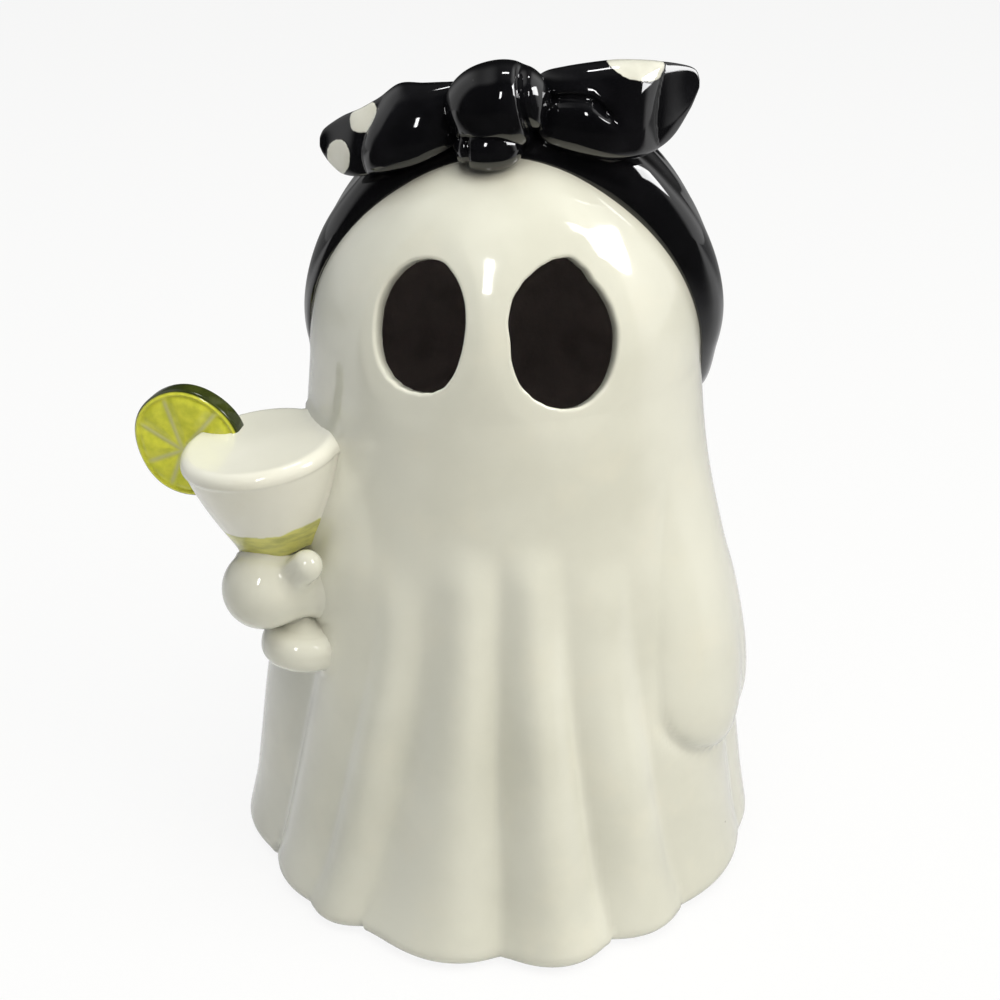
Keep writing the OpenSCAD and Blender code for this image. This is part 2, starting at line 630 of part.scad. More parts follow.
module at_screws() {
    for (a = [90, 210, 330]) rotate([0, 0, a]) translate([screw_ring_r, 0, 0]) children();
}
module block(x0, x1, y0, y1, z0, z1) {
    translate([x0, y0, z0]) cube([x1 - x0, y1 - y0, z1 - z0]);
}
module light_housing() {
    color([0.93, 0.93, 0.9]) difference() {
        union() {
            difference() {
                union() {
                    translate([0, 0, flange_z]) cylinder(r = flange_r, h = plate_t);
                    translate([0, 0, flange_z]) cylinder(r = housing_r, h = plate_t + housing_h);
                }
                difference() {
                    translate([0, 0, floor_top]) cylinder(r = inner_r, h = housing_h);
                    block(-bay_w / 2 - shell_t, bay_w / 2 + shell_t, -bay_l / 2 - shell_t,
                        bay_l / 2 + shell_t, floor_top - overrun, roof_top);
                }
            }
            translate([0, 0, roof_top - overrun]) at_screws()
                cylinder(r = boss_screw_r, h = boss_h + overrun);
        }
        // Bay, door recess and finger notch
        block(-bay_w / 2, bay_w / 2, -bay_l / 2, bay_l / 2, flange_z - overrun, bay_top);
        block(-door_w / 2 - door_gap, door_w / 2 + door_gap, hinge_y, door_far + door_gap,
            flange_z - overrun, flange_z + door_t + door_gap);
        // Hinge slot and sockets
        block(-barrel_w / 2 - door_gap, barrel_w / 2 + door_gap, hinge_y - barrel_r - door_gap,
            hinge_y + barrel_r + door_gap, flange_z - overrun, hinge_z + barrel_r + door_gap);
        translate([-barrel_w / 2 - pin_l - door_gap, hinge_y, hinge_z]) rotate([0, 90, 0])
            cylinder(r = pin_r + pin_gap, h = barrel_w + 2 * pin_l + 2 * door_gap);
        // Screw pilots
        translate([0, 0, board_z + board_t - screw_l]) at_screws() cylinder(r = screw_r, h = screw_l);
        // Switch: slot through the floor and a shallow track for the cap
        block(switch_x - knob_w / 2 - slide_gap, switch_x + knob_w / 2 + slide_gap,
            -knob_l / 2 - switch_travel / 2 - slide_gap, knob_l / 2 + switch_travel / 2 + slide_gap,
            flange_z - overrun, floor_top + overrun);
        block(switch_x - cap_w / 2 - slide_gap, switch_x + cap_w / 2 + slide_gap,
            -cap_l / 2 - switch_travel / 2 - slide_gap, cap_l / 2 + switch_travel / 2 + slide_gap,
            flange_z - overrun, flange_z + cap_in + slide_gap);
        // Holes in the roof for the leads
        for (s = [-1, 1]) translate([s * lead_x, s * (bay_l / 2 - lead_in), bay_top - overrun])
            cylinder(r = lead_hole_r, h = roof_top - bay_top + 2 * overrun);
    }
}
lead_x = cell_pitch;
lead_r = 0.55;
lead_in = plate_metal_t + lead_r;
lead_hole_r = 0.8;
module base_gasket() {
    color([0.25, 0.25, 0.25]) translate([0, 0, flange_z + plate_t]) difference() {
        cylinder(r = flange_r, h = gasket_t);
        translate([0, 0, -overrun]) cylinder(r = opening_r, h = gasket_t + 2 * overrun);
    }
}
dome_steps = 12;
dome_h = 14;
lip_h = 2;
module light_dome() {
    color([0.97, 0.96, 0.9]) translate([0, 0, housing_top]) rotate_extrude() polygon(concat(
        [[inner_r - shell_t, -lip_h], [inner_r, -lip_h], [inner_r, 0]],
        [for (k = [0 : dome_steps]) let (b = 90 * k / dome_steps) [housing_r * cos(b), dome_h * sin(b)]],
        [for (k = [0 : dome_steps]) let (b = 90 - 90 * k / dome_steps)
            [(inner_r - shell_t) * cos(b), (dome_h - shell_t) * sin(b)]]));
}
led_h = 8.6;
led_rim_r = 2.9;
led_rim_h = 1;
module led() {
    color([1, 0.93, 0.75]) translate([0, 0, board_z + board_t]) {
        cylinder(r = led_rim_r, h = led_rim_h);
        cylinder(r = led_r, h = led_h - led_r);
        translate([0, 0, led_h - led_r]) sphere(r = led_r);
    }
    color("silver") for (s = [-1, 1]) translate([s * led_r / 2, 0, board_z - lead_r])
        cylinder(r = leg_r, h = board_t + 2 * lead_r);
}
leg_r = 0.25;
module circuit_board() {
    color([0.1, 0.4, 0.2]) translate([0, 0, board_z]) difference() {
        cylinder(r = board_r, h = board_t);
        translate([0, 0, -overrun]) at_screws() cylinder(r = screw_r + pin_gap, h = board_t + 2 * overrun);
        for (s = [-1, 1]) translate([s * led_r / 2, 0, -overrun])
            cylinder(r = leg_r, h = board_t + 2 * overrun);
    }
}
resistor_l = 3.2;
resistor_w = 1.6;
resistor_h = 0.6;
module resistor() {
    color("black") block(-resistor_l / 2, resistor_l / 2, 2 * led_r, 2 * led_r + resistor_w,
        board_z + board_t, board_z + board_t + resistor_h);
}
screw_head_h = 1.3;
module board_screws() {
    color("silver") at_screws() difference() {
        union() {
            translate([0, 0, board_z + board_t]) cylinder(r = screw_head_r, h = screw_head_h);
            translate([0, 0, board_z + board_t - screw_l + lute]) cylinder(r = screw_r, h = screw_l - lute);
        }
        for (t = [0, 90]) translate([0, 0, board_z + board_t + screw_head_h]) rotate([0, 0, t])
            cube([screw_head_r * 1.3, screw_head_h / 3, screw_head_h], center = true);
    }
}
// Three cells, the middle one the other way round
button_r = 1.9;
button_h = 1;
module battery_cells() {
    for (i = [-1 : 1]) let (way = i == 0 ? -1 : 1) color([0.75, 0.62, 0.3])
        translate([i * cell_pitch, way * (bay_l / 2 - plate_metal_t - cell_l), cell_z])
            rotate([-90 * way, 0, 0]) {
                cylinder(r = cell_r, h = cell_l - button_h);
                cylinder(r = button_r, h = cell_l);
            }
}
// Springs: one wire each, wound between the plate and the cell's flat end
spring_r = 2.6;
spring_wire_r = 0.3;
spring_turns = 3;
spring_steps = 12;
spring_sides = 6;
module contact_springs() {
    for (i = [-1 : 1]) let (way = i == 0 ? -1 : 1) color("silver")
        translate([i * cell_pitch, -way * (bay_l / 2 - plate_metal_t), cell_z]) rotate([-90 * way, 0, 0])
            coil(spring_room - 2 * spring_wire_r);
}
module coil(height) {
    n = spring_turns * spring_steps;
    translate([0, 0, spring_wire_r]) loft([for (k = [0 : n]) let (a = -360 * k / spring_steps,
            z = height * k / n, r = spring_r * (1 - coil_taper_share * k / n))
        [for (j = [0 : spring_sides - 1]) let (b = 360 * j / spring_sides)
            [(r + spring_wire_r * cos(b)) * cos(a), (r + spring_wire_r * cos(b)) * sin(a),
             z + spring_wire_r * sin(b)]]]);
}
coil_taper_share = 0.4;
plate_h = 8;
module plate_at(x0, x1, s) {
    block(x0, x1, s > 0 ? bay_l / 2 - plate_metal_t : -bay_l / 2,
        s > 0 ? bay_l / 2 : -bay_l / 2 + plate_metal_t, cell_z - plate_h / 2, cell_z + plate_h / 2);
}
module bridge_plates() {
    color("silver") {
        plate_at(-cell_pitch - plate_h / 2, plate_h / 2, 1);
        plate_at(-plate_h / 2, cell_pitch + plate_h / 2, -1);
    }
}
module terminal_plates() {
    color("silver") {
        plate_at(cell_pitch - plate_h / 2, cell_pitch + plate_h / 2, 1);
        plate_at(-cell_pitch - plate_h / 2, -cell_pitch + plate_h / 2, -1);
    }
}
// A wire through points: at each one a ring square to the way it bends
lead_sides = 8;
module wire(points) {
    n = len(points) - 1;
    loft([for (k = [0 : n]) let (v = points[min(k + 1, n)] - points[max(k - 1, 0)], run = v / norm(v),
            side = cross(run, [0.2, 0.4, 0.9]) / norm(cross(run, [0.2, 0.4, 0.9])), up = cross(run, side))
        [for (j = [0 : lead_sides - 1]) let (b = 360 * j / lead_sides)
            points[k] + (side * cos(b) + up * sin(b)) * lead_r]]);
}
lead_bend = 2 * lead_r;
module lead_wires() {
    above = roof_top + lead_bend + lead_r;
    board_top = board_z + board_t + lead_r;
    switch_mid = floor_top + switch_h / 2;
    color([0.7, 0.1, 0.1]) {
        wire([[lead_x, bay_l / 2 - lead_in, bay_top - cell_gap / 2], [lead_x, bay_l / 2 - lead_in, roof_top],
            [lead_x + lead_bend, bay_l / 2 - lead_in - lead_bend, above],
            [switch_x - lead_bend, switch_l / 2 + 3 * lead_bend, above],
            [switch_x, switch_l / 2 + 2 * lead_bend, roof_top - lead_bend],
            [switch_x, switch_l / 2 + 2 * lead_bend, switch_mid + lead_bend],
            [switch_x, switch_l / 2 + lead_bend, switch_mid], [switch_x, switch_l / 2, switch_mid]]);
        wire([[switch_x, -switch_l / 2, switch_mid], [switch_x, -switch_l / 2 - lead_bend, switch_mid],
            [switch_x, -switch_l / 2 - 2 * lead_bend, switch_mid + lead_bend],
            [switch_x, -switch_l / 2 - 2 * lead_bend, board_z],
            [switch_x - lead_bend, -switch_l / 2 - lead_bend, board_top + lead_bend],
            [board_r, -lead_bend, board_top + lead_bend], [board_r - 2 * lead_bend, 0, board_top]]);
        wire([[-lead_x, lead_in - bay_l / 2, bay_top - cell_gap / 2],
            [-lead_x, lead_in - bay_l / 2, roof_top],
            [-lead_x, lead_in + lead_bend - bay_l / 2, above], [-lead_x, -board_r, above],
            [-lead_x * 0.8, -board_r, board_top + lead_bend],
            [-board_r / 3, -board_r * 0.6, board_top + lead_bend / 2],
            [-board_r / 4, -board_r / 2, board_top]]);
    }
}
module switch_body() {
    color([0.15, 0.15, 0.16]) difference() {
        block(switch_x - switch_w / 2, switch_x + switch_w / 2, -switch_l / 2, switch_l / 2,
            floor_top, floor_top + switch_h);
        block(switch_x - knob_w / 2 - slide_gap, switch_x + knob_w / 2 + slide_gap,
            -knob_l / 2 - switch_travel / 2 - slide_gap, knob_l / 2 + switch_travel / 2 + slide_gap,
            floor_top - overrun, knob_top + slide_gap);
    }
}
module switch_knob() {
    color([0.1, 0.1, 0.11]) translate([0, -switch_travel / 2, 0]) {
        block(switch_x - knob_w / 2, switch_x + knob_w / 2, -knob_l / 2, knob_l / 2, flange_z, knob_top);
        block(switch_x - cap_w / 2, switch_x + cap_w / 2, -cap_l / 2, cap_l / 2,
            flange_z - cap_out, flange_z + cap_in);
    }
}
module battery_door() {
    color([0.9, 0.9, 0.87]) {
        block(-door_w / 2, door_w / 2, hinge_y + barrel_r, door_far, flange_z, flange_z + door_t);
        block(-barrel_w / 2, barrel_w / 2, hinge_y, hinge_y + 2 * barrel_r, flange_z, flange_z + door_t);
        translate([-barrel_w / 2, hinge_y, hinge_z]) rotate([0, 90, 0]) cylinder(r = barrel_r, h = barrel_w);
        translate([-barrel_w / 2 - pin_l, hinge_y, hinge_z]) rotate([0, 90, 0])
            cylinder(r = pin_r, h = barrel_w + 2 * pin_l);
    }
}

ghost_body();
scarf_band();
bow_knot();
bow_tuck();
bow_loop_left();
bow_loop_right();
raised_hand();
glass_bowl();
glass_stem();
glass_foot();
lime_slice();
light_housing();
base_gasket();
light_dome();
led();
resistor();
circuit_board();
board_screws();
battery_cells();
contact_springs();
bridge_plates();
terminal_plates();
lead_wires();
switch_body();
switch_knob();
battery_door();
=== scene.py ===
import bpy
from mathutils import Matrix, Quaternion
import numpy as np


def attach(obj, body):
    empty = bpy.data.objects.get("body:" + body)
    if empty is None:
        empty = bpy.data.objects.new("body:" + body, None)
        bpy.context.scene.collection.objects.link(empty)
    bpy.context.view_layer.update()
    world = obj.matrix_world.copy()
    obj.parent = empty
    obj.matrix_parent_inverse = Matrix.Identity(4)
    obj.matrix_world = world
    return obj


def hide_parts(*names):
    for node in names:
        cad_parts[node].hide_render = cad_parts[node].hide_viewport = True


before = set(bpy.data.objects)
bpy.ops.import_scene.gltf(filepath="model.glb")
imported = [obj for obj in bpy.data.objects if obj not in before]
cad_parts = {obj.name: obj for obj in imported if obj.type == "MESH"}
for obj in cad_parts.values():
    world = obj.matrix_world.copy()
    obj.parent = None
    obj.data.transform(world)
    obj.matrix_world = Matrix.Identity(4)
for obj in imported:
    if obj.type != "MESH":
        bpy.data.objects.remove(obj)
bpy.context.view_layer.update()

# The body is slip-cast white earthenware, one shell from the crown to the foot ring.
# The folds of the sheet, the hanging arm and the raised sleeve are in the mould. The eyes are
# cut through the wet wall with a knife, and the clay round them is pressed into soft dishes.
BODY_H = 0.211
HEAD_R = 0.053
HEAD_Z = 0.150
HEM_R = 0.0705
HEM_FORWARD = 0.004
HEM_ROUND = 0.005
HEM_LIFT = 0.0008
WALL = 0.0045
FLARE_POWER = 1.1

# Each row is a valley between two folds and the fold after it, going round from the back:
# direction at the hem, direction where the fold starts, how far the valley stays filled,
# how full the fold is, where it starts as a share of FOLD_TOP, and how far its ridge leans
# over to the far valley
FOLDS = np.array([
    (-180.0, -180.0, 0.00, 0.60, 0.97, 1.0),
    (-157.0, -161.0, 0.00, 0.75, 0.99, 1.0),
    (-136.0, -142.0, 0.00, 0.60, 0.95, 1.0),
    (-117.0, -122.0, 0.00, 0.70, 0.97, 1.0),
    (-97.0, -99.0, 0.00, 0.95, 1.00, 1.0),
    (-63.0, -50.0, 0.00, 0.42, 0.83, 1.0),
    (-42.0, -31.0, 0.40, 0.62, 0.94, 1.0),
    (-28.0, -17.0, 0.00, 1.05, 1.02, 1.35),
    (3.5, 2.3, 0.00, 1.25, 1.03, 1.05),
    (26.5, 19.5, 0.00, 0.70, 0.97, 1.0),
    (46.0, 38.0, 0.06, 0.36, 0.93, 1.0),
    (78.0, 74.0, 0.05, 0.38, 0.86, 1.0),
    (103.0, 108.0, 0.00, 0.65, 0.97, 1.0),
    (124.0, 128.0, 0.00, 0.60, 0.98, 1.0),
    (143.0, 147.0, 0.00, 0.75, 0.95, 1.0),
    (161.0, 164.0, 0.00, 0.60, 0.97, 1.0),
    (180.0, 180.0, 0.00, 0.60, 0.97, 1.0),
])
FOLD_DEPTH = 0.0057
FOLD_TOP = 0.116
FOLD_RAMP = 0.070
FOLD_START_RAMP = 0.014
FOLD_START_SHARE = 0.34
FOLD_NARROW_POWER = 1.5
FOLD_BROAD_POWER = 0.85
FOLD_NARROW_RAMP = 0.474 * FOLD_TOP
VALLEY_SOFTNESS = 0.16
VALLEY_DRIFT_TOP = 0.74 * FOLD_TOP
VALLEY_DRIFT_POWER = 1.3
HEM_FILL = 0.42
HEM_FILL_H = 0.020
HEM_KICK = 0.0016
KICK_H = 0.022

ARM_DIRECTION = 71.0
SHOULDER_Z = 0.140
SHOULDER_NARROWING = 0.35
HAND_Z = 0.068
HAND_DROP = 0.025
HAND_W = 0.031
HAND_DEPTH = 0.0074
HAND_EDGE_POWER = 0.85
FINGERTIP_POWER = 0.52
HAND_GROOVE = 0.0007
HAND_GROOVE_PLACE = 1.12
HAND_GROOVE_W = 0.14
SLEEVE_DIRECTION = -53.0
SLEEVE_Z = 0.106
SLEEVE_H = 0.030
SLEEVE_W = 0.022
SLEEVE_DEPTH = 0.004
SLEEVE_POWER = 1.5

# Knife cuts of the eyes: reach from the centre every 15 degrees, as shares of half the size
LEFT_EYE = {
    "direction": -22.5, "z": 0.1714, "w": 0.0238, "h": 0.0346,
    "shares": np.array([1.0, 1.015, 1.03, 1.03, 1.03, 1.05, 1.045, 1.05, 1.08, 1.10, 1.12, 1.12,
                        1.09, 1.07, 1.05, 1.0, 0.94, 0.90, 0.88, 0.90, 0.95, 1.0, 1.01, 1.0]),
}
RIGHT_EYE = {
    "direction": 22.5, "z": 0.1713, "w": 0.0274, "h": 0.0376,
    "shares": np.array([1.01, 0.98, 0.945, 0.925, 0.99, 1.04, 1.01, 0.985, 0.985, 1.02, 1.065, 1.07,
                        1.035, 1.075, 1.085, 1.045, 1.005, 0.98, 0.975, 0.985, 0.995, 1.01, 1.01, 1.01]),
}
EYE_KNOTS = 24
EYE_TILT = np.radians(20.0)
DISH_DEPTH = 0.0021
DISH_W_SHARE = 0.78
DISH_H_SHARE = 0.70
DISH_POWER = 1.25
LIP_R = 0.0010


def clamp01(t):
    """t, held between zero and one."""
    return np.clip(t, 0.0, 1.0)


def smooth(t):
    """Rises from 0 to 1 as t does, level at both ends: 3 t squared less 2 t cubed."""
    c = clamp01(t)
    return c * c * (3 - 2 * c)


def around(direction, r, z):
    """The point at radius r and height z, in a direction in degrees from the front towards
    +X: x is r times the direction's sine, y less r times its cosine."""
    a = np.radians(direction)
    a, r, z = np.broadcast_arrays(a, r, z)
    return np.stack([r * np.sin(a), -r * np.cos(a), z], -1)


def direction_of(p):
    """Direction of points in degrees from the front towards +X: the arctangent of x over -y."""
    return np.degrees(np.arctan2(p[..., 0], -p[..., 1]))


def fold_growth(z, top):
    """How far a fold that starts at height top has come out: a quick rise to its rounded
    end, then a slow one down its length."""
    return (FOLD_START_SHARE * smooth((top - z) / FOLD_START_RAMP)
            + (1 - FOLD_START_SHARE) * smooth((top - z) / FOLD_RAMP))


def fold_relief(direction, z):
    """How far the folds stand out. Between two valleys is an arch, the sine of the way across
    to a power that is higher at the top, with its foot rounded and filled towards the hem,
    times the fold's growth."""
    drift = clamp01(1 - z / VALLEY_DRIFT_TOP) ** VALLEY_DRIFT_POWER
    valleys = FOLDS[:, 1] + (FOLDS[:, 0] - FOLDS[:, 1]) * drift[..., None]
    k = np.clip((direction[..., None] >= valleys).sum(-1) - 1, 0, len(FOLDS) - 2)
    start = np.take_along_axis(valleys, k[..., None], -1)[..., 0]
    stop = np.take_along_axis(valleys, k[..., None] + 1, -1)[..., 0]
    t = clamp01((direction - start) / (stop - start))
    narrowing = smooth(z / FOLD_NARROW_RAMP - 0.9)
    power = FOLD_BROAD_POWER + (FOLD_NARROW_POWER - FOLD_BROAD_POWER) * narrowing
    wave = np.sin(np.pi * t ** FOLDS[k, 5])
    foot, peak = VALLEY_SOFTNESS ** power, (1 + VALLEY_SOFTNESS ** 2) ** (power / 2)
    arch = ((wave ** 2 + VALLEY_SOFTNESS ** 2) ** (power / 2) - foot) / (peak - foot)
    filled = HEM_FILL * smooth((HEM_FILL_H - z) / HEM_FILL_H)
    full = FOLDS[k, 3] * (arch + filled * (1 - arch))
    fill = FOLDS[k, 2] * (1 - t) + FOLDS[k + 1, 2] * t
    grown = full * fold_growth(z, FOLD_TOP * FOLDS[k, 4]) + fill * fold_growth(z, FOLD_TOP)
    return FOLD_DEPTH * grown + (full + fill) * HEM_KICK * smooth((KICK_H - z) / KICK_H)


def hanging_arm(direction, z):
    """A half-sunk arm: an ellipse across and below the hand, narrowing up to the shoulder,
    with a steep edge round the fingertips and a faint groove outside them."""
    rise = smooth((z - HAND_Z) / (SHOULDER_Z - HAND_Z))
    w = HAND_W * (1 - SHOULDER_NARROWING * rise)
    across = np.radians(direction - ARM_DIRECTION) * (HEM_R - HEM_ROUND) / w
    below = np.maximum(0, HAND_Z - z) / HAND_DROP
    d = across ** 2 + below ** 2
    edge_power = HAND_EDGE_POWER + (FINGERTIP_POWER - HAND_EDGE_POWER) * smooth(below * 1.6)
    groove = HAND_GROOVE * np.exp(-((d - HAND_GROOVE_PLACE) / HAND_GROOVE_W) ** 2) * smooth(below * 2)
    return HAND_DEPTH * (1 - rise) * np.maximum(0, 1 - d) ** edge_power - groove


def sleeve(direction, z):
    """The swelling of the sheet over the raised wrist: an ellipse, one less the square of
    the distance from its middle, to a power that softens its edge."""
    across = np.radians(direction - SLEEVE_DIRECTION) * (HEAD_R + HEM_ROUND) / SLEEVE_W
    d = across ** 2 + ((z - SLEEVE_Z) / SLEEVE_H) ** 2
    return SLEEVE_DEPTH * np.maximum(0, 1 - d) ** SLEEVE_POWER


def eye_dish(direction, z, eye):
    """The pressed dish round one eye: an ellipse as for the sleeve, but pressed in."""
    across = np.radians(direction - eye["direction"]) * HEAD_R / (eye["w"] * DISH_W_SHARE)
    up = (z - eye["z"]) / (eye["h"] * DISH_H_SHARE)
    return DISH_DEPTH * np.maximum(0, 1 - across ** 2 - up ** 2) ** DISH_POWER


def smooth_radius(z, inset=0.0):
    """The turned form under the folds: up to the head's widest place a flare, a power of the
    height that is left, and above it an ellipse."""
    flare = HEAD_R + (HEM_R - HEAD_R) * clamp01(1 - z / HEAD_Z) ** FLARE_POWER - inset
    lift = (z - HEAD_Z) / (BODY_H - inset - HEAD_Z)
    dome = (HEAD_R - inset) * np.sqrt(np.maximum(0, 1 - lift ** 2))
    return np.where(z <= HEAD_Z, flare, dome)


def draped_radius(direction, z, inset=0.0):
    """Radius of the sheet: the turned form, a little forward towards the hem, with the folds
    and the sleeve on it."""
    forward = HEM_FORWARD * np.cos(np.radians(direction)) * clamp01(1 - z / HEAD_Z)
    return smooth_radius(z, inset) + forward + fold_relief(direction, z) + sleeve(direction, z)


# The glass and the fist are pressed on with slip, so the body swells to meet them. These are
# their places: the glass stands out on the left of the body, the fist is under its bowl.
GLASS_DIRECTION = -61.0
GLASS_Z = 0.106
GLASS_REACH = smooth_radius(GLASS_Z) + 0.0096
GLASS_LEAN = np.radians(8.0)
RIM_R = 0.0216
BOWL_R = 0.0122
BOWL_H = 0.029
BOWL_TURN = np.radians(GLASS_DIRECTION - 14)
BOWL_BASE = around(GLASS_DIRECTION, GLASS_REACH, GLASS_Z)
GLASS_FOOT_Z = 0.078
GLASS_FOOT_R = 0.011
GLASS_FOOT_H = 0.010
GLASS_FOOT_EDGE = 0.0045
FOOT_TURN = np.radians(GLASS_DIRECTION)
FOOT_CENTRE = around(GLASS_DIRECTION + 9, smooth_radius(GLASS_FOOT_Z) + 0.00585, GLASS_FOOT_Z)
FIST_R = 0.011
FIST_CENTRE = around(GLASS_DIRECTION + 6, GLASS_REACH + 0.75 * FIST_R, GLASS_Z - 0.92 * FIST_R)
THUMB_R = 0.0044
THUMB_TIP = around(GLASS_DIRECTION + 15.5, GLASS_REACH + 0.35 * THUMB_R, GLASS_Z - 0.0004)
THUMB_ROOT = FIST_CENTRE + FIST_R * np.array([0.5, 0, 0.1])
ARM_R = 0.84 * FIST_R
ARM_ROOT = around(GLASS_DIRECTION + 9, GLASS_REACH - 1.4 * ARM_R, GLASS_Z - FIST_R - THUMB_R / 2)
WRIST_BLEND = 0.004
THUMB_BLEND = 0.0034
LUTING_R = 0.0034


def turned(points, about_x, about_z):
    """points times the matrices of a turn about X and then one about Z."""
    c, s = np.cos(about_x), np.sin(about_x)
    lean = np.array([[1, 0, 0], [0, c, -s], [0, s, c]])
    c, s = np.cos(about_z), np.sin(about_z)
    turn = np.array([[c, -s, 0], [s, c, 0], [0, 0, 1]])
    return points @ (turn @ lean).T


BOWL_AXIS = turned(np.array([0.0, 0.0, 1.0]), GLASS_LEAN, BOWL_TURN)
FOOT_AXIS = turned(np.array([0.0, 0.0, 1.0]), -GLASS_LEAN, FOOT_TURN)


def rod_gap(p, a, b, ra, rb):
    """Distance from points to a rod with round ends: to the nearest place on its line, less
    its radius there."""
    run = b - a
    t = clamp01(((p - a) @ run) / max(run @ run, 1e-12))
    return np.linalg.norm(p - a - t[..., None] * run, axis=-1) - (ra + (rb - ra) * t)


def turned_gap(p, base, axis, low_r, high_r, height):
    """Distance from points to a turned piece: a cone between two radii, cut at both ends."""
    h = (p - base) @ axis
    r = np.linalg.norm(p - base - h[..., None] * axis, axis=-1)
    slope = (high_r - low_r) / height
    side = (r - low_r - slope * np.clip(h, 0, height)) / np.sqrt(1 + slope ** 2)
    end = np.maximum(-h, h - height)
    outside = np.hypot(np.maximum(side, 0), np.maximum(end, 0))
    return outside + np.minimum(np.maximum(side, end), 0)


def soft_min(a, b, reach):
    """The smaller of two distances, less a quarter of reach where they are equal and nothing
    where they are reach apart, which rounds the corner between."""
    h = np.maximum(reach - np.abs(a - b), 0) / reach
    return np.minimum(a, b) - h * h * reach / 4


def bowl_gap(p):
    """Distance from points to the bowl of the glass."""
    return turned_gap(p, BOWL_BASE, BOWL_AXIS, BOWL_R, RIM_R, BOWL_H)


def foot_gap(p):
    """Distance from points to the foot of the glass, a thick disc with a round edge."""
    base = FOOT_CENTRE - FOOT_AXIS * (GLASS_FOOT_H / 2 - GLASS_FOOT_EDGE)
    inner = GLASS_FOOT_R - GLASS_FOOT_EDGE
    height = GLASS_FOOT_H - 2 * GLASS_FOOT_EDGE
    return turned_gap(p, base, FOOT_AXIS, inner, inner, height) - GLASS_FOOT_EDGE


def hand_gap(p):
    """Distance from points to the fist, thumb and wrist, joined softly."""
    fist = rod_gap(p, FIST_CENTRE, FIST_CENTRE, FIST_R, FIST_R)
    thumb = rod_gap(p, THUMB_TIP, THUMB_ROOT, THUMB_R, 0.8 * THUMB_R)
    wrist = rod_gap(p, FIST_CENTRE, ARM_ROOT, 0.86 * ARM_R, ARM_R)
    return soft_min(soft_min(fist, wrist, WRIST_BLEND), thumb, THUMB_BLEND)


def luting(gap, reach):
    """How far a surface swells beside a piece that is a gap away: the rounded corner of slip
    between them, a quarter of reach where they touch and nothing beyond reach."""
    swell = np.zeros_like(gap)
    for _ in range(6):
        swell = np.maximum(reach - np.abs(gap - swell), 0) ** 2 / (4 * reach)
    return np.where(gap < reach / 4, reach / 4, swell)


def skin_radius(direction, z, inset=0.0):
    """Radius of the glazed surface: the sheet and the arm less the dishes, and the slip beside
    the glass and the fist. The surface that lies inset below it has no slip."""
    direction, z = np.broadcast_arrays(np.asarray(direction, float), np.asarray(z, float))
    r = (draped_radius(direction, z, inset) + hanging_arm(direction, z)
         - eye_dish(direction, z, LEFT_EYE) - eye_dish(direction, z, RIGHT_EYE))
    if inset:
        return r
    p = around(direction, r, z)
    near = np.minimum(np.minimum(bowl_gap(p), foot_gap(p)), hand_gap(p))
    return r + luting(near, LUTING_R)


def bridge(low, high):
    """Four corners of each cell between closed rings of point numbers, low and high."""
    return np.stack([low, np.roll(low, -1, -1), np.roll(high, -1, -1), high], -1).reshape(-1, 4)


def quads(rows, columns, first=0):
    """Four corners of each cell of a grid of points whose last column meets its first."""
    numbers = first + np.arange(rows * columns).reshape(rows, columns)
    return bridge(numbers[:-1], numbers[1:])


def fan(ring, tip, flip=False):
    """Triangles from a closed ring of point numbers to one tip."""
    after = np.roll(ring, -1)
    tips = np.full(len(ring), tip)
    return np.stack([after, ring, tips] if flip else [ring, after, tips], -1)


def make_piece(name, points, faces, finishes, finish_of_face=None):
    """A smooth-shaded mesh object from arrays of points and faces, with its materials."""
    mesh = bpy.data.meshes.new(name)
    lists = [row for block in faces for row in block.tolist()]
    mesh.from_pydata(points.reshape(-1, 3).tolist(), [], lists)
    for finish in finishes:
        mesh.materials.append(finish.material)
    if finish_of_face is not None:
        mesh.polygons.foreach_set("material_index", np.asarray(finish_of_face, np.int32))
    mesh.polygons.foreach_set("use_smooth", np.ones(len(mesh.polygons), bool))
    mesh.update()
    piece = bpy.data.objects.new(name, mesh)
    bpy.context.scene.collection.objects.link(piece)
    return piece


SKIN_COLUMNS = 360
HEM_ROWS = 7
FLARE_ROWS = 92
DOME_ROWS = 56
directions = -180 + 360 * np.arange(SKIN_COLUMNS) / SKIN_COLUMNS
round_over = np.linspace(0, np.pi / 2, HEM_ROWS + 1)[:-1]
dome_heights = HEAD_Z + (BODY_H - HEAD_Z) * np.sin(np.linspace(0, np.pi / 2, DOME_ROWS + 2)[1:-1])
outer_heights = np.concatenate([
    HEM_LIFT + HEM_ROUND * (1 - np.cos(round_over)),
    np.linspace(HEM_LIFT + HEM_ROUND, HEAD_Z, FLARE_ROWS), dome_heights])
outer_inset = np.concatenate([HEM_ROUND * (1 - np.sin(round_over)), np.zeros(FLARE_ROWS + DOME_ROWS)])
outer_r = skin_radius(directions[None, :], outer_heights[:, None]) - outer_inset[:, None]
outer_points = around(directions[None, :], outer_r, outer_heights[:, None])

# The inside of the shell follows the outside at the wall's thickness
INNER_FLARE_ROWS = 28
dome_shrink = (BODY_H - WALL - HEAD_Z) / (BODY_H - HEAD_Z)
inner_heights = np.concatenate([
    np.linspace(WALL, HEAD_Z, INNER_FLARE_ROWS), HEAD_Z + (dome_heights - HEAD_Z) * dome_shrink])
inner_r = skin_radius(directions[None, :], inner_heights[:, None], WALL)
inner_r[0] -= HEM_ROUND
inner_points = around(directions[None, :], inner_r, inner_heights[:, None])

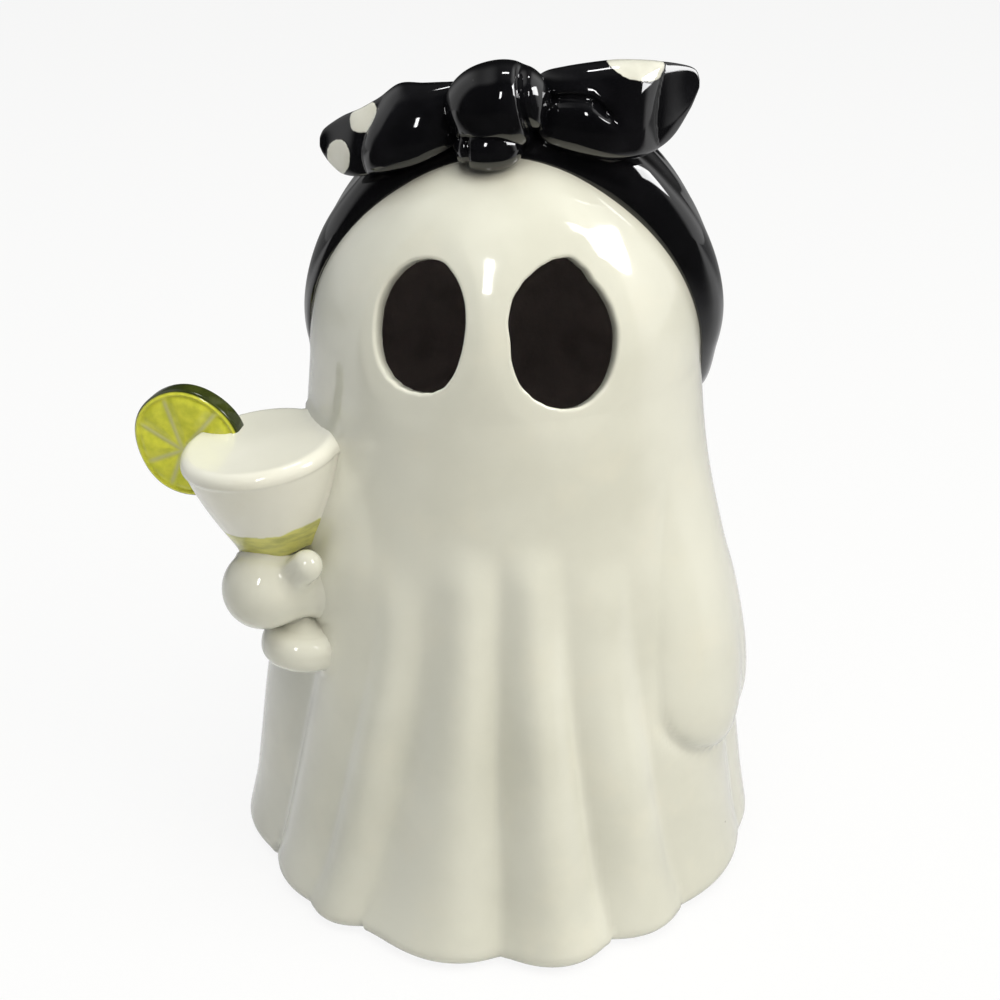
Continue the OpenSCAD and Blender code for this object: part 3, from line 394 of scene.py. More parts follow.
# The underside, from the hem inwards: the unglazed foot ring, the recess for the light unit,
# its opening, and the boss round it inside
FOOT_R = HEM_R - HEM_ROUND - HEM_FORWARD - HEM_LIFT
FOOT_ROWS = 9
RECESS_R = 0.0385
RECESS_DEPTH = 0.006
OPENING_R = 0.033
EDGE = 0.0005
floor_profile = np.array([
    (FOOT_R + EDGE, HEM_LIFT), (FOOT_R, HEM_LIFT - EDGE * 0.3), (FOOT_R - EDGE, 0),
    (RECESS_R + EDGE, 0), (RECESS_R, EDGE), (RECESS_R, RECESS_DEPTH),
    (OPENING_R + EDGE, RECESS_DEPTH), (OPENING_R, RECESS_DEPTH + EDGE),
    (OPENING_R, RECESS_DEPTH + WALL - EDGE), (OPENING_R + EDGE, RECESS_DEPTH + WALL),
    (RECESS_R + WALL - EDGE, RECESS_DEPTH + WALL), (RECESS_R + WALL, RECESS_DEPTH + WALL - EDGE),
    (RECESS_R + WALL, WALL)])
floor_points = around(directions[None, :], floor_profile[:, :1], floor_profile[:, 1:])

n_outer, n_floor, n_inner = len(outer_heights), len(floor_profile), len(inner_heights)
first_floor = n_outer * SKIN_COLUMNS
first_inner = first_floor + n_floor * SKIN_COLUMNS
first_tip = first_inner + n_inner * SKIN_COLUMNS
body_points = [outer_points.reshape(-1, 3), floor_points.reshape(-1, 3), inner_points.reshape(-1, 3),
               np.array([[0, 0, BODY_H], [0, 0, BODY_H - WALL]])]
ring = np.arange(SKIN_COLUMNS)
floor_cells = quads(n_floor, SKIN_COLUMNS, first_floor)[:, ::-1]

# The skin round each eye is laid again as rings from a window in the grid to the knife's cut,
# over its rounded lip, through the wall and out to the same window inside
LIP_STEPS = 6
PATCH_STEPS = 9
INNER_PATCH_STEPS = 5
INNER_LIP = 0.0004
WINDOW_MARGIN = 0.0024
CUT_STEPS = 14
CUT_STEP_SHARE = 0.9
WINDOW_W_SHARE = 1.1
WINDOW_H_SHARE = 1.02
GLAZED, BARE, DARK = 0, 1, 2


def eye_edge(eye, t, grow=0.0):
    """The knife's line round an eye in its own plane, at the angles t: half its size times a
    share between those of the two nearest knots, moved out by grow."""
    k = t / (2 * np.pi) * EYE_KNOTS
    i = np.floor(k).astype(int)
    f = smooth(k - i)
    share = eye["shares"][i % EYE_KNOTS] * (1 - f) + eye["shares"][(i + 1) % EYE_KNOTS] * f
    u, v = eye["w"] / 2 * np.cos(t) * share, eye["h"] / 2 * np.sin(t) * share
    length = np.hypot(u, v)
    return u * (1 + grow / length), v * (1 + grow / length)


def on_cut(eye, u, v, inset):
    """Where lines along the knife's direction meet the skin: each is followed in steps, by
    the distance that is left, until it lies on the surface."""
    a = np.radians(eye["direction"])
    level, rise = np.cos(EYE_TILT), np.sin(EYE_TILT)
    side = np.array([np.cos(a), np.sin(a), 0])
    out = np.array([np.sin(a) * level, -np.cos(a) * level, rise])
    up = np.array([-np.sin(a) * rise, np.cos(a) * rise, level])
    p = around(eye["direction"], smooth_radius(eye["z"]), eye["z"]) + u[:, None] * side + v[:, None] * up
    for _ in range(CUT_STEPS):
        gap = np.hypot(p[:, 0], p[:, 1]) - skin_radius(direction_of(p), p[:, 2], inset)
        p = p - (gap / level * CUT_STEP_SHARE)[:, None] * out
    return p, out


def window(eye):
    """Rows and columns of the grid that hold an eye with a margin round it."""
    half_w = eye["w"] / 2 * WINDOW_W_SHARE + WINDOW_MARGIN
    half_h = eye["h"] / 2 * WINDOW_H_SHARE + WINDOW_MARGIN
    half_turn = np.degrees(half_w / smooth_radius(eye["z"]))
    columns = np.nonzero(np.abs(directions - eye["direction"]) < half_turn)[0]
    rows = np.nonzero(np.abs(outer_heights - eye["z"]) < half_h)[0]
    return rows[0], rows[-1], columns[0], columns[-1]


def border(r0, r1, c0, c1):
    """Point numbers once round a window in the grid, anticlockwise from outside."""
    row, column = np.arange(r0, r1), np.arange(c0, c1)
    return np.concatenate([r0 * SKIN_COLUMNS + column, row * SKIN_COLUMNS + c1,
                           r1 * SKIN_COLUMNS + column[::-1] + 1, (row[::-1] + 1) * SKIN_COLUMNS + c0])


def across_skin(from_direction, from_z, to_direction, to_z, share, inset):
    """Points spread over the skin between two lines on it, by share of the way."""
    d = from_direction * (1 - share) + to_direction * share
    z = from_z * (1 - share) + to_z * share
    return around(d, skin_radius(d, z, inset), z)


kept_outer = np.ones((n_outer - 1, SKIN_COLUMNS), bool)
kept_inner = np.ones((n_inner - 1, SKIN_COLUMNS), bool)
row_shift = n_outer - n_inner
eye_cells = []
next_point = first_tip + 2
for eye in (LEFT_EYE, RIGHT_EYE):
    r0, r1, c0, c1 = window(eye)
    kept_outer[r0:r1, c0:c1] = False
    kept_inner[r0 - row_shift:r1 - row_shift, c0:c1] = False
    edge = border(r0, r1, c0, c1)
    inner_edge = border(r0 - row_shift, r1 - row_shift, c0, c1)
    edge_direction = directions[edge % SKIN_COLUMNS]
    edge_z = outer_heights[edge // SKIN_COLUMNS]
    inner_edge_z = inner_heights[inner_edge // SKIN_COLUMNS]
    u = np.radians(edge_direction - eye["direction"]) * smooth_radius(eye["z"])
    v = (edge_z - eye["z"]) / np.cos(EYE_TILT)
    t = np.arctan2(v / eye["h"], u / eye["w"]) % (2 * np.pi)
    rim, out = on_cut(eye, *eye_edge(eye, t, LIP_R), 0.0)
    share = (np.arange(1, PATCH_STEPS + 1) / PATCH_STEPS)[:, None]
    patch = across_skin(edge_direction, edge_z, direction_of(rim), rim[:, 2], share, 0.0)
    patch[-1] = rim
    lip = []
    for b in np.linspace(0, np.pi / 2, LIP_STEPS + 1)[1:]:
        p, out = on_cut(eye, *eye_edge(eye, t, LIP_R * (1 - np.sin(b))), 0.0)
        lip.append(p - out * LIP_R * (1 - np.cos(b)))
    inside, out = on_cut(eye, *eye_edge(eye, t), WALL)
    inner_rim, out = on_cut(eye, *eye_edge(eye, t, INNER_LIP), WALL)
    share = (np.arange(INNER_PATCH_STEPS) / INNER_PATCH_STEPS)[:, None]
    inner_patch = across_skin(direction_of(inner_rim), inner_rim[:, 2], edge_direction, inner_edge_z,
                              share, WALL)
    inner_patch[0] = inner_rim
    rings = np.concatenate([patch, np.array(lip), (inside + out * INNER_LIP)[None], inner_patch])
    n = len(t)
    seam = next_point + np.arange(n)
    last = seam + (len(rings) - 1) * n
    strip = quads(len(rings), n, next_point)
    glazed = (PATCH_STEPS + LIP_STEPS + 1) * n
    eye_cells += [(bridge(edge, seam), GLAZED), (strip[:glazed], GLAZED), (strip[glazed:], DARK),
                  (bridge(last, inner_edge + first_inner), DARK)]
    body_points.append(rings.reshape(-1, 3))
    next_point += len(rings) * n


class Nodes:
    """Adds shader nodes to a tree. Each method gives an output of its new node, and where it
    takes a number or a colour, such an output does as well."""

    vector = None

    def __init__(self, tree):
        """Holds the tree that the nodes are added to."""
        self.tree = tree

    def feed(self, socket, value):
        """Links an output to a socket, or puts a number or a colour in it."""
        if isinstance(value, bpy.types.NodeSocket):
            self.tree.links.new(value, socket)
        elif socket.type == "RGBA":
            socket.default_value = (*value, 1.0)
        else:
            socket.default_value = value

    def add(self, kind, inputs, output, **settings):
        """A node of a kind, with its settings and what goes into it."""
        node = self.tree.nodes.new("ShaderNode" + kind)
        for name, value in settings.items():
            setattr(node, name, value)
        for name, value in inputs.items():
            self.feed(node.inputs[name], value)
        return node.outputs[output]

    def place(self, centre=(0, 0, 0), stretch=(1, 1, 1)):
        """The piece's own coordinates in metres, from a centre and divided by a stretch."""
        own = {"Vector": self.add("TexCoord", {}, "Object"), "Location": centre, "Scale": stretch}
        return self.add("Mapping", own, "Vector", vector_type="TEXTURE")

    def axis(self, name, vector=None):
        """One of the three coordinates."""
        return self.add("SeparateXYZ", {0: self.vector if vector is None else vector}, name)

    def math(self, kind, a, b=0.0):
        """Sum, product, or other combination of two values."""
        return self.add("Math", {0: a, 1: b}, 0, operation=kind)

    def times(self, a, b):
        """Product of two values."""
        return self.math("MULTIPLY", a, b)

    def ramp(self, value, low, high, out_low=0.0, out_high=1.0):
        """value mapped smoothly from low..high to out_low..out_high."""
        ends = {"Value": value, "From Min": low, "From Max": high, "To Min": out_low, "To Max": out_high}
        return self.add("MapRange", ends, "Result", interpolation_type="SMOOTHSTEP")

    def mix(self, amount, a, b):
        """Colour a turning into colour b by amount."""
        return self.add("Mix", {0: amount, 6: a, 7: b}, 2, data_type="RGBA")

    def seen(self):
        """One for what the camera sees, straight or through something clear, else zero."""
        ray = self.add("LightPath", {}, 0).node.outputs
        return self.math("MAXIMUM", ray["Is Camera Ray"], ray["Is Transmission Ray"])

    def reflected(self):
        """One for what shows in a reflection, else zero."""
        return self.add("LightPath", {}, "Is Glossy Ray")

    def noise(self, scale, detail=3.0, vector=None):
        """A noise texture's value, at a number of features to the metre."""
        place = self.vector if vector is None else vector
        return self.add("TexNoise", {"Vector": place, "Scale": scale, "Detail": detail}, "Fac")

    def patches(self, scale, detail, low, high, out_low=0.0, out_high=1.0, vector=None):
        """Noise mapped smoothly from low..high to out_low..out_high."""
        return self.ramp(self.noise(scale, detail, vector), low, high, out_low, out_high)

    def mottled(self, scale, detail, low, high, a, b, vector=None):
        """Colour a with patches of colour b, where noise rises from low to high."""
        return self.mix(self.patches(scale, detail, low, high, vector=vector), a, b)

    def specks(self, scale, radius, share):
        """Small round specks: the places nearest the middle of a share of scattered cells."""
        near = self.add("TexVoronoi", {"Vector": self.vector, "Scale": scale}, "Distance")
        chosen = self.add("SeparateColor", {"Color": near.node.outputs["Color"]}, "Red")
        round_spot = self.ramp(near, radius * scale, radius * scale * 0.45)
        return self.times(round_spot, self.math("LESS_THAN", chosen, share))

    def attribute(self, name):
        """The value that the piece keeps under a name."""
        return self.add("Attribute", {}, "Fac", attribute_name=name)


class Finish(Nodes):
    """A new material, whose surface shader is fed by the names of its inputs."""

    def __init__(self, name, roughness, coat=0.0, specular=0.5, metallic=0.0):
        """Starts the surface with its gloss, and the piece's own coordinates."""
        self.material = bpy.data.materials.new(name)
        self.material.use_nodes = True
        super().__init__(self.material.node_tree)
        self.surface = self.tree.nodes["Principled BSDF"].inputs
        self.vector = self.place()
        self.put("Roughness", roughness)
        self.put("Coat Weight", coat)
        self.put("Specular IOR Level", specular)
        self.put("Metallic", metallic)

    def put(self, name, value):
        """Feeds one input of the surface shader."""
        self.feed(self.surface[name], value)

    def relief(self, heights, distance):
        """Bump from a height value, over a distance in metres, on top of any that is there."""
        inputs = {"Strength": 1.0, "Distance": distance, "Height": heights}
        for link in self.surface["Normal"].links:
            inputs["Normal"] = link.from_socket
        self.put("Normal", self.add("Bump", inputs, "Normal"))


def white_glaze(name, tint=(0.82, 0.815, 0.735), shade=(0.74, 0.735, 0.655)):
    """Cream-white gloss glaze: it pools a little in places, its surface is slightly wavy, and
    a few pinholes and iron specks show in it."""
    finish = Finish(name, 0.10, coat=0.4)
    finish.put("Coat Roughness", 0.02)
    pooled = finish.mottled(26.0, 4.0, 0.35, 0.72, tint, shade)
    warmed = finish.mix(finish.patches(70.0, 3.0, 0.5, 0.8, 0.0, 0.35), pooled, (0.86, 0.83, 0.72))
    spots = finish.specks(62.0, 0.00042, 0.16)
    finish.put("Base Color", finish.mix(finish.times(spots, 0.75), warmed, (0.16, 0.13, 0.10)))
    finish.put("Roughness", finish.patches(160.0, 3.0, 0.3, 0.8, 0.07, 0.15))
    finish.relief(finish.noise(38.0, 2.0), 0.00035)
    finish.relief(finish.noise(420.0, 2.0), 0.00002)
    finish.relief(finish.times(spots, -1.0), 0.00006)
    return finish


def fired_clay(name, colour, dark):
    """Bare fired clay: matt, faintly grainy, with darker dust."""
    finish = Finish(name, 0.8, specular=0.3)
    finish.put("Base Color", finish.mottled(90.0, 5.0, 0.4, 0.75, colour, dark))
    finish.relief(finish.noise(900.0, 3.0), 0.00008)
    return finish


glaze = white_glaze("white_glaze")
foot_clay = fired_clay("bare_foot_clay", (0.62, 0.56, 0.47), (0.45, 0.39, 0.31))
inside_clay = fired_clay("dark_inside", (0.64, 0.58, 0.58), (0.54, 0.49, 0.49))
blocks = [
    (quads(n_outer, SKIN_COLUMNS)[kept_outer.ravel()], GLAZED), (bridge(first_floor + ring, ring), GLAZED),
    (fan(first_floor - SKIN_COLUMNS + ring, first_tip), GLAZED),
    (floor_cells[:FOOT_ROWS * SKIN_COLUMNS], BARE), (floor_cells[FOOT_ROWS * SKIN_COLUMNS:], DARK),
    (bridge(first_inner + ring, first_inner - SKIN_COLUMNS + ring), DARK),
    (quads(n_inner, SKIN_COLUMNS, first_inner)[kept_inner.ravel(), ::-1], DARK),
    (fan(first_tip - SKIN_COLUMNS + ring, first_tip + 1, flip=True), DARK), *eye_cells]
finish_of_cell = np.concatenate([np.full(len(cells), finish) for cells, finish in blocks])
ghost = make_piece("ghost_shell", np.concatenate(body_points), [cells for cells, _ in blocks],
                   [glaze, foot_clay, inside_clay], finish_of_cell)
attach(ghost, "figure")
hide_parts("ghost_body")

# The raised hand is a ball of clay for the fist with a small thumb on it and a wrist that goes
# into the body, all luted on and sponged smooth before glazing.
HAND_ROWS = 110
HAND_COLUMNS = 150
HAND_REACH = 0.034
HAND_LUTING = 0.0026
BURIED = 0.0016
RAY_STEPS = 70
RAY_STEP_SHARE = 0.85
RAY_SHORTEST = 0.0005
SKIN_SLOPE = 0.97


def outermost(gap, centre, rays, reach):
    """The farthest point along each ray from a centre where a distance function is zero:
    each ray is followed inwards from reach by the distance that is left."""
    t = np.full(rays.shape[:-1], reach)
    for _ in range(RAY_STEPS):
        t = np.maximum(t - RAY_STEP_SHARE * gap(centre + rays * t[..., None]), RAY_SHORTEST)
    return centre + rays * t[..., None]


def grid_normals(points):
    """Outward normals of a grid whose columns run anticlockwise and whose rows run upwards:
    the cross product of the steps to its neighbours."""
    along = np.roll(points, -1, 1) - np.roll(points, 1, 1)
    n = np.cross(along, np.gradient(points, axis=0))
    return n / np.maximum(np.linalg.norm(n, axis=-1, keepdims=True), 1e-12)


def skin_gap(p):
    """Distance of points from the body's skin: how much farther they are from the body's axis,
    times the cosine of its slope."""
    return (np.hypot(p[..., 0], p[..., 1]) - draped_radius(direction_of(p), p[..., 2])) * SKIN_SLOPE


def luted(points, gap, reach):
    """A grid of points swollen beside the pieces that are a gap away. What lies deeper in the
    body than BURIED is drawn back to that depth."""
    moved = points + grid_normals(points) * luting(gap, reach)[..., None]
    deep = np.maximum(-BURIED - skin_gap(moved), 0)
    return moved + around(direction_of(moved), 1.0, 0.0) * deep[..., None]


def capped(points, low_tip=None, high_tip=None):
    """The points of a grid of rings in one list, then those that close its two ends: by
    default the middles of its end rings."""
    low_tip = points[0].mean(0) if low_tip is None else low_tip
    high_tip = points[-1].mean(0) if high_tip is None else high_tip
    return np.concatenate([points.reshape(-1, 3), [low_tip, high_tip]])


def closed_grid(name, points, columns, finish):
    """A closed piece from capped points, turned right side out by the sign of its volume."""
    n = len(points) - 2
    ring = np.arange(columns)
    faces = [quads(n // columns, columns), fan(ring, n, flip=True), fan(n - columns + ring, n + 1)]
    a, b, c, d = points[faces[0].T]
    if (a * np.cross(b, c)).sum() + (a * np.cross(c, d)).sum() < 0:
        faces = [cells[:, ::-1] for cells in faces]
    return make_piece(name, points, faces, [finish])


lean = np.pi * (np.arange(1, HAND_ROWS + 1) / (HAND_ROWS + 1))[:, None]
rays = around(180 + 360 * np.arange(HAND_COLUMNS)[None, :] / HAND_COLUMNS, np.sin(lean), -np.cos(lean))
hand_points = outermost(hand_gap, FIST_CENTRE, rays, HAND_REACH)
beside = np.minimum(np.minimum(skin_gap(hand_points), bowl_gap(hand_points)), foot_gap(hand_points))
hand_points = luted(hand_points, beside, HAND_LUTING)
hand = closed_grid("raised_fist", capped(hand_points), HAND_COLUMNS, glaze)
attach(hand, "figure")
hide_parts("raised_hand")

# The glass is one thick white clay piece: a wide bowl that looks full to the rim, a short stem
# hidden by the fist and a thick foot. A lime-green line is brushed round the bottom of the bowl.
RIM_ROUND = 0.0030
DRINK_DEPTH = 0.0003
BOWL_EDGE = 0.0018
BOWL_COLUMNS = 144
GLASS_LUTING = 0.0024
GREEN_LINE_TOP = 0.0086
GREEN_LINE_EDGE = 0.0008


def corner(centre_r, centre_h, radius, start, stop, steps):
    """Points on an arc of a profile, from one angle to another in degrees."""
    b = np.radians(np.linspace(start, stop, steps))
    return np.stack([centre_r + radius * np.cos(b), centre_h + radius * np.sin(b)], -1)


def glass_piece(profile, base, about_x, about_z, columns):
    """Rings of a profile of radius and height turned about its own axis, then leaned and
    turned into place and luted to the body and the hand."""
    angle = 2 * np.pi * np.arange(columns)[None, :] / columns
    r, h = profile[:, :1], profile[:, 1:] + 0 * angle
    rings = base + turned(np.stack([r * np.cos(angle), r * np.sin(angle), h], -1), about_x, about_z)
    return luted(rings, np.minimum(skin_gap(rings), hand_gap(rings)), GLASS_LUTING)


def named_values(piece, name, values):
    """Keeps one value for each point of a piece, for its material to read."""
    held = piece.data.attributes.new(name, "FLOAT", "POINT")
    held.data.foreach_set("value", np.asarray(values, np.float32))


rim_centre = RIM_R - RIM_ROUND
side = np.linspace(0, 1, 30)[1:-1]
side_r = BOWL_R + 0.0002 + (RIM_R - 0.0004 - BOWL_R) * side + 0.0007 * np.sin(np.pi * side)
drink = np.linspace(1, 0, 18)[1:-1]
bowl_profile = np.concatenate([
    np.stack([np.linspace(0.001, BOWL_R - BOWL_EDGE, 6), np.zeros(6)], -1),
    corner(BOWL_R - BOWL_EDGE, BOWL_EDGE, BOWL_EDGE, -80, -20, 6),
    np.stack([side_r, BOWL_EDGE + (BOWL_H - RIM_ROUND - BOWL_EDGE) * side], -1),
    corner(rim_centre, BOWL_H - RIM_ROUND, RIM_ROUND, -10, 90, 14),
    np.stack([rim_centre * drink, BOWL_H - DRINK_DEPTH * (1 - drink ** 5)], -1)])
bowl_points = glass_piece(bowl_profile, BOWL_BASE, GLASS_LEAN, BOWL_TURN, BOWL_COLUMNS)
bowl_points = capped(bowl_points, BOWL_BASE, BOWL_BASE + BOWL_AXIS * (BOWL_H - DRINK_DEPTH))

# The bowl's white is a lighter copy of the body's glaze: painted light, as the bowl catches more light than
# the body beside it, though both are one glaze.
banded_glaze_painted_lighter = white_glaze("white_glaze_painted_lighter_green_line", tint=(0.90, 0.885, 0.81), shade=(0.84, 0.825, 0.745))
under = banded_glaze_painted_lighter.surface["Base Color"].links[0].from_socket
wander = banded_glaze_painted_lighter.patches(120.0, 3.0, 0.2, 0.8, -GREEN_LINE_EDGE, GREEN_LINE_EDGE)
height = banded_glaze_painted_lighter.math("ADD", banded_glaze_painted_lighter.attribute("height_on_bowl"), wander)
line = banded_glaze_painted_lighter.ramp(height, GREEN_LINE_TOP, GREEN_LINE_TOP - GREEN_LINE_EDGE)
brushed = banded_glaze_painted_lighter.place(stretch=(1, 1, 0.3))
green = banded_glaze_painted_lighter.mottled(180.0, 4.0, 0.3, 0.75, (0.72, 0.70, 0.21), (0.47, 0.47, 0.15), brushed)
banded_glaze_painted_lighter.put("Base Color", banded_glaze_painted_lighter.mix(line, under, green))
bowl = closed_grid("glass_bowl_full", bowl_points, BOWL_COLUMNS, banded_glaze_painted_lighter)
named_values(bowl, "height_on_bowl", (bowl_points - BOWL_BASE) @ BOWL_AXIS)
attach(bowl, "figure")
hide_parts("glass_bowl")

# The stem is a plain rod through the fist, and the foot a thick disc below it with a soft edge
# that rises to a low cone. Both are the same glazed clay as the bowl, and take the body's glaze
# without the bowl's painted lighter white.
FOOT_RISE = 0.0034
FOOT_COLUMNS = 120


def dress(node, finish):
    """Gives a part from the frame its material."""
    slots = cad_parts[node].data.materials
    slots.clear()
    slots.append(finish.material)


foot_inner = GLASS_FOOT_R - GLASS_FOOT_EDGE
foot_profile = np.concatenate([
    np.stack([np.linspace(0.0008, foot_inner, 8), np.zeros(8)], -1),
    corner(foot_inner, GLASS_FOOT_EDGE, GLASS_FOOT_EDGE, -85, 0, 12),
    corner(foot_inner, GLASS_FOOT_H - GLASS_FOOT_EDGE, GLASS_FOOT_EDGE, 0, 80, 12),
    np.stack([np.linspace(foot_inner, 0.0008, 8), GLASS_FOOT_H + FOOT_RISE * np.linspace(0, 1, 8)], -1)])
foot_base = FOOT_CENTRE - FOOT_AXIS * GLASS_FOOT_H / 2
foot_points = glass_piece(foot_profile, foot_base, -GLASS_LEAN, FOOT_TURN, FOOT_COLUMNS)
foot_points = capped(foot_points, foot_base, foot_base + FOOT_AXIS * (GLASS_FOOT_H + FOOT_RISE))
glass_foot = closed_grid("glass_foot_disc", foot_points, FOOT_COLUMNS, glaze)
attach(glass_foot, "figure")
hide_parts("glass_foot")
dress("glass_stem", glaze)

# The lime is a thick slice of clay pushed into the rim. Its segments are pressed in as soft
# puffs between thin raised walls, and it is glazed yellow-green with a dark green rind.
LIME_R = 0.0156
LIME_T = 0.0064
LIME_EDGE = LIME_T / 4
LIME_FRONT = -LIME_T / 2 + 0.0006
LIME_TURN = np.radians(-12.0)
LIME_CENTRE = BOWL_BASE + np.array([-RIM_R - 0.22 * LIME_R, 0.52 * RIM_R, BOWL_H - 0.41 * LIME_R])
LIME_COLUMNS = 210
LIME_WALLS = np.radians(np.array([-15.0, 50.0, 108.0, 152.0, 204.0, 248.0, 296.0]))
LIME_WALL_W = 0.00065
LIME_WALL_H = 0.00025
PUFF_H = 0.00085
PUFF_EDGE = 0.0021
PITH = np.array([-0.0012, -0.0020])
PITH_R = 0.0011
lime_angle = 2 * np.pi * np.arange(LIME_COLUMNS)[None, :] / LIME_COLUMNS


def lime_ring(share, depth):
    """Rings of the slice at shares of its radius, as sideways, forward and upward reach."""
    r = share * LIME_R * (1 + 0.012 * np.sin(3 * lime_angle + 0.7) + 0.008 * np.sin(5 * lime_angle))
    return np.stack([r * np.cos(lime_angle), depth + 0 * r, r * np.sin(lime_angle)], -1)


front_share = np.linspace(0.02, 0.90, 34)[:, None]
from_pith = lime_ring(front_share, 0.0)[..., (0, 2)] - PITH
pith_r = np.hypot(from_pith[..., 0], from_pith[..., 1])
pith_angle = np.arctan2(from_pith[..., 1], from_pith[..., 0])
apart = np.abs((pith_angle[..., None] - LIME_WALLS + np.pi) % (2 * np.pi) - np.pi).min(-1)
wall_gap = np.sin(np.minimum(apart, np.pi / 2)) * pith_r
wall_line = np.exp(-(wall_gap / LIME_WALL_W) ** 2)
rim_fall = smooth((0.93 - front_share) / 0.16)
puff = PUFF_H * (1 - np.exp(-(wall_gap / PUFF_EDGE) ** 2)) * rim_fall + LIME_WALL_H * wall_line
edge_angle = np.radians(np.linspace(-80, 80, 18))[:, None]
rind_share = 1 - LIME_EDGE / LIME_R * (1 - np.cos(edge_angle))
rind_depth = np.sign(edge_angle) * (LIME_T / 2 - LIME_EDGE) + LIME_EDGE * np.sin(edge_angle)
back_share = np.linspace(0.9, 0.02, 14)[:, None]
slice_rings = np.concatenate([lime_ring(front_share, LIME_FRONT - puff), lime_ring(rind_share, rind_depth),
                              lime_ring(back_share, LIME_T / 2)])
slice_points = capped(slice_rings, [0, LIME_FRONT, 0], [0, LIME_T / 2, 0])
slice_points = LIME_CENTRE + turned(slice_points, 0.0, LIME_TURN)

lime_finish = Finish("lime_glaze", 0.16, coat=0.4)
from_lime = lime_finish.place(centre=tuple(LIME_CENTRE))
flesh = lime_finish.mottled(330.0, 4.0, 0.3, 0.75, (0.86, 0.86, 0.090), (0.66, 0.69, 0.065), from_lime)
pale = lime_finish.mix(lime_finish.attribute("pith_line"), flesh, (0.66, 0.66, 0.33))
green = lime_finish.mottled(150.0, 3.0, 0.35, 0.7, (0.028, 0.038, 0.006), (0.060, 0.076, 0.012))
lime_finish.put("Base Color", lime_finish.mix(lime_finish.attribute("rind_cover"), pale, green))
lime_finish.relief(lime_finish.noise(500.0, 3.0), 0.00006)
lime = closed_grid("lime_slice_cut", slice_points, LIME_COLUMNS, lime_finish)
line_value = np.maximum(wall_line * 0.85 * rim_fall, np.exp(-(pith_r / PITH_R) ** 2))
behind = np.zeros((len(edge_angle) + len(back_share)) * LIME_COLUMNS)
named_values(lime, "pith_line", np.concatenate([line_value.ravel(), behind, [1.0, 0.6]]))
cover = np.concatenate([0 * front_share, smooth((np.degrees(edge_angle) + 58) / 14),
                        smooth((back_share - 0.82) / 0.04)])
named_values(lime, "rind_cover", np.append(np.repeat(cover, LIME_COLUMNS), [0.0, 0.0]))
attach(lime, "figure")
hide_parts("lime_slice")

# The headscarf is a band of clay laid over the crown and round to the nape, gloss black with
# cream dots. Its front edge is rolled, and soft gathers run into it where the bow sits.
BAND_T = 0.005
BAND_W = 0.037
LUTE = 0.0004
BAND_RIGHT_SHARE = 0.5
# Half of the band's middle line from the crown to the nape: height over the head's widest place
# as a share of the dome's height, sideways and backward reach as shares of the head's radius,
# then width and thickness as shares of the full ones
BAND_HALF = np.array([
    (1, 0, 0, 0.98, 0.9), (0.95, 0.30, 0.01, 1.04, 1.1), (0.84, 0.54, 0.02, 1.08, 1.35),
    (0.68, 0.73, 0.05, 1.05, 1.25), (0.48, 0.87, 0.10, 0.98, 1.1), (0.26, 0.95, 0.18, 0.92, 0.9),
    (0.08, 0.96, 0.29, 0.90, 0.6), (-0.08, 0.90, 0.44, 0.86, 0.5), (-0.20, 0.76, 0.66, 0.84, 0.6),
    (-0.27, 0.55, 0.85, 0.82, 0.7), (-0.31, 0.28, 0.97, 0.82, 0.8), (-0.32, 0, 1.0, 0.82, 0.8)])
BAND_STATIONS = 420
BAND_TOP_POINTS = 60
BAND_UNDER_POINTS = 14
GATHER_DEPTH = 0.00055
CREASE_DEPTH = 0.0004
DOT_R = 0.0068
# Dots on the band, as station round the ring and reach across it: they lie from the ears back
DOT_PLACES = np.array([
    (0.24, 0.62), (0.285, -0.35), (0.345, 0.40), (0.40, -0.40), (0.455, 0.38), (0.515, -0.35), (0.57, 0.42),
    (0.62, -0.42), (0.675, 0.35), (0.73, -0.30), (0.78, 0.55), (0.055, 0.72), (0.945, 0.78)])


def on_head(p, grow):
    """Points moved straight out or in until they lie grow above the bare head or body."""
    grow = np.broadcast_to(grow, p.shape[:-1])
    q = p - np.array([0, 0, HEAD_Z])
    a, b = HEAD_R + grow, BODY_H - HEAD_Z + grow
    e = np.sqrt((q[..., 0] ** 2 + q[..., 1] ** 2) / a ** 2 + q[..., 2] ** 2 / b ** 2)
    high = q / e[..., None] + np.array([0, 0, HEAD_Z])
    s = (smooth_radius(p[..., 2]) + grow) / np.maximum(np.hypot(p[..., 0], p[..., 1]), 1e-9)
    low = np.stack([p[..., 0] * s, p[..., 1] * s, p[..., 2]], -1)
    return np.where((p[..., 2] >= HEAD_Z)[..., None], high, low)


def curve_at(knots, t, closed=False):
    """Points on a smooth curve through knots: between each two of them a cubic, whose slope at
    a knot is half the step between the knots beside it."""
    last = len(knots) - 1
    i = np.floor(t).astype(int)
    if not closed:
        i = np.minimum(i, last - 1)
    f = (t - i)[:, None]
    near = [(i + d) % (last + 1) if closed else np.clip(i + d, 0, last) for d in (-1, 0, 1, 2)]
    p, q, r, u = knots[np.array(near)]
    return q + f / 2 * (r - p + f * (2 * p - 5 * q + 4 * r - u + f * (3 * (q - r) + u - p)))


def unit(v):
    """Vectors divided by their length."""
    return v / np.linalg.norm(v, axis=-1, keepdims=True)


def polka_distance(points, centres, radii):
    """Distance from each point to the edge of the nearest dot: the least of the distances to
    their middles less their radii, negative inside."""
    return (np.linalg.norm(points[..., None, :] - centres, axis=-1) - radii).min(-1)


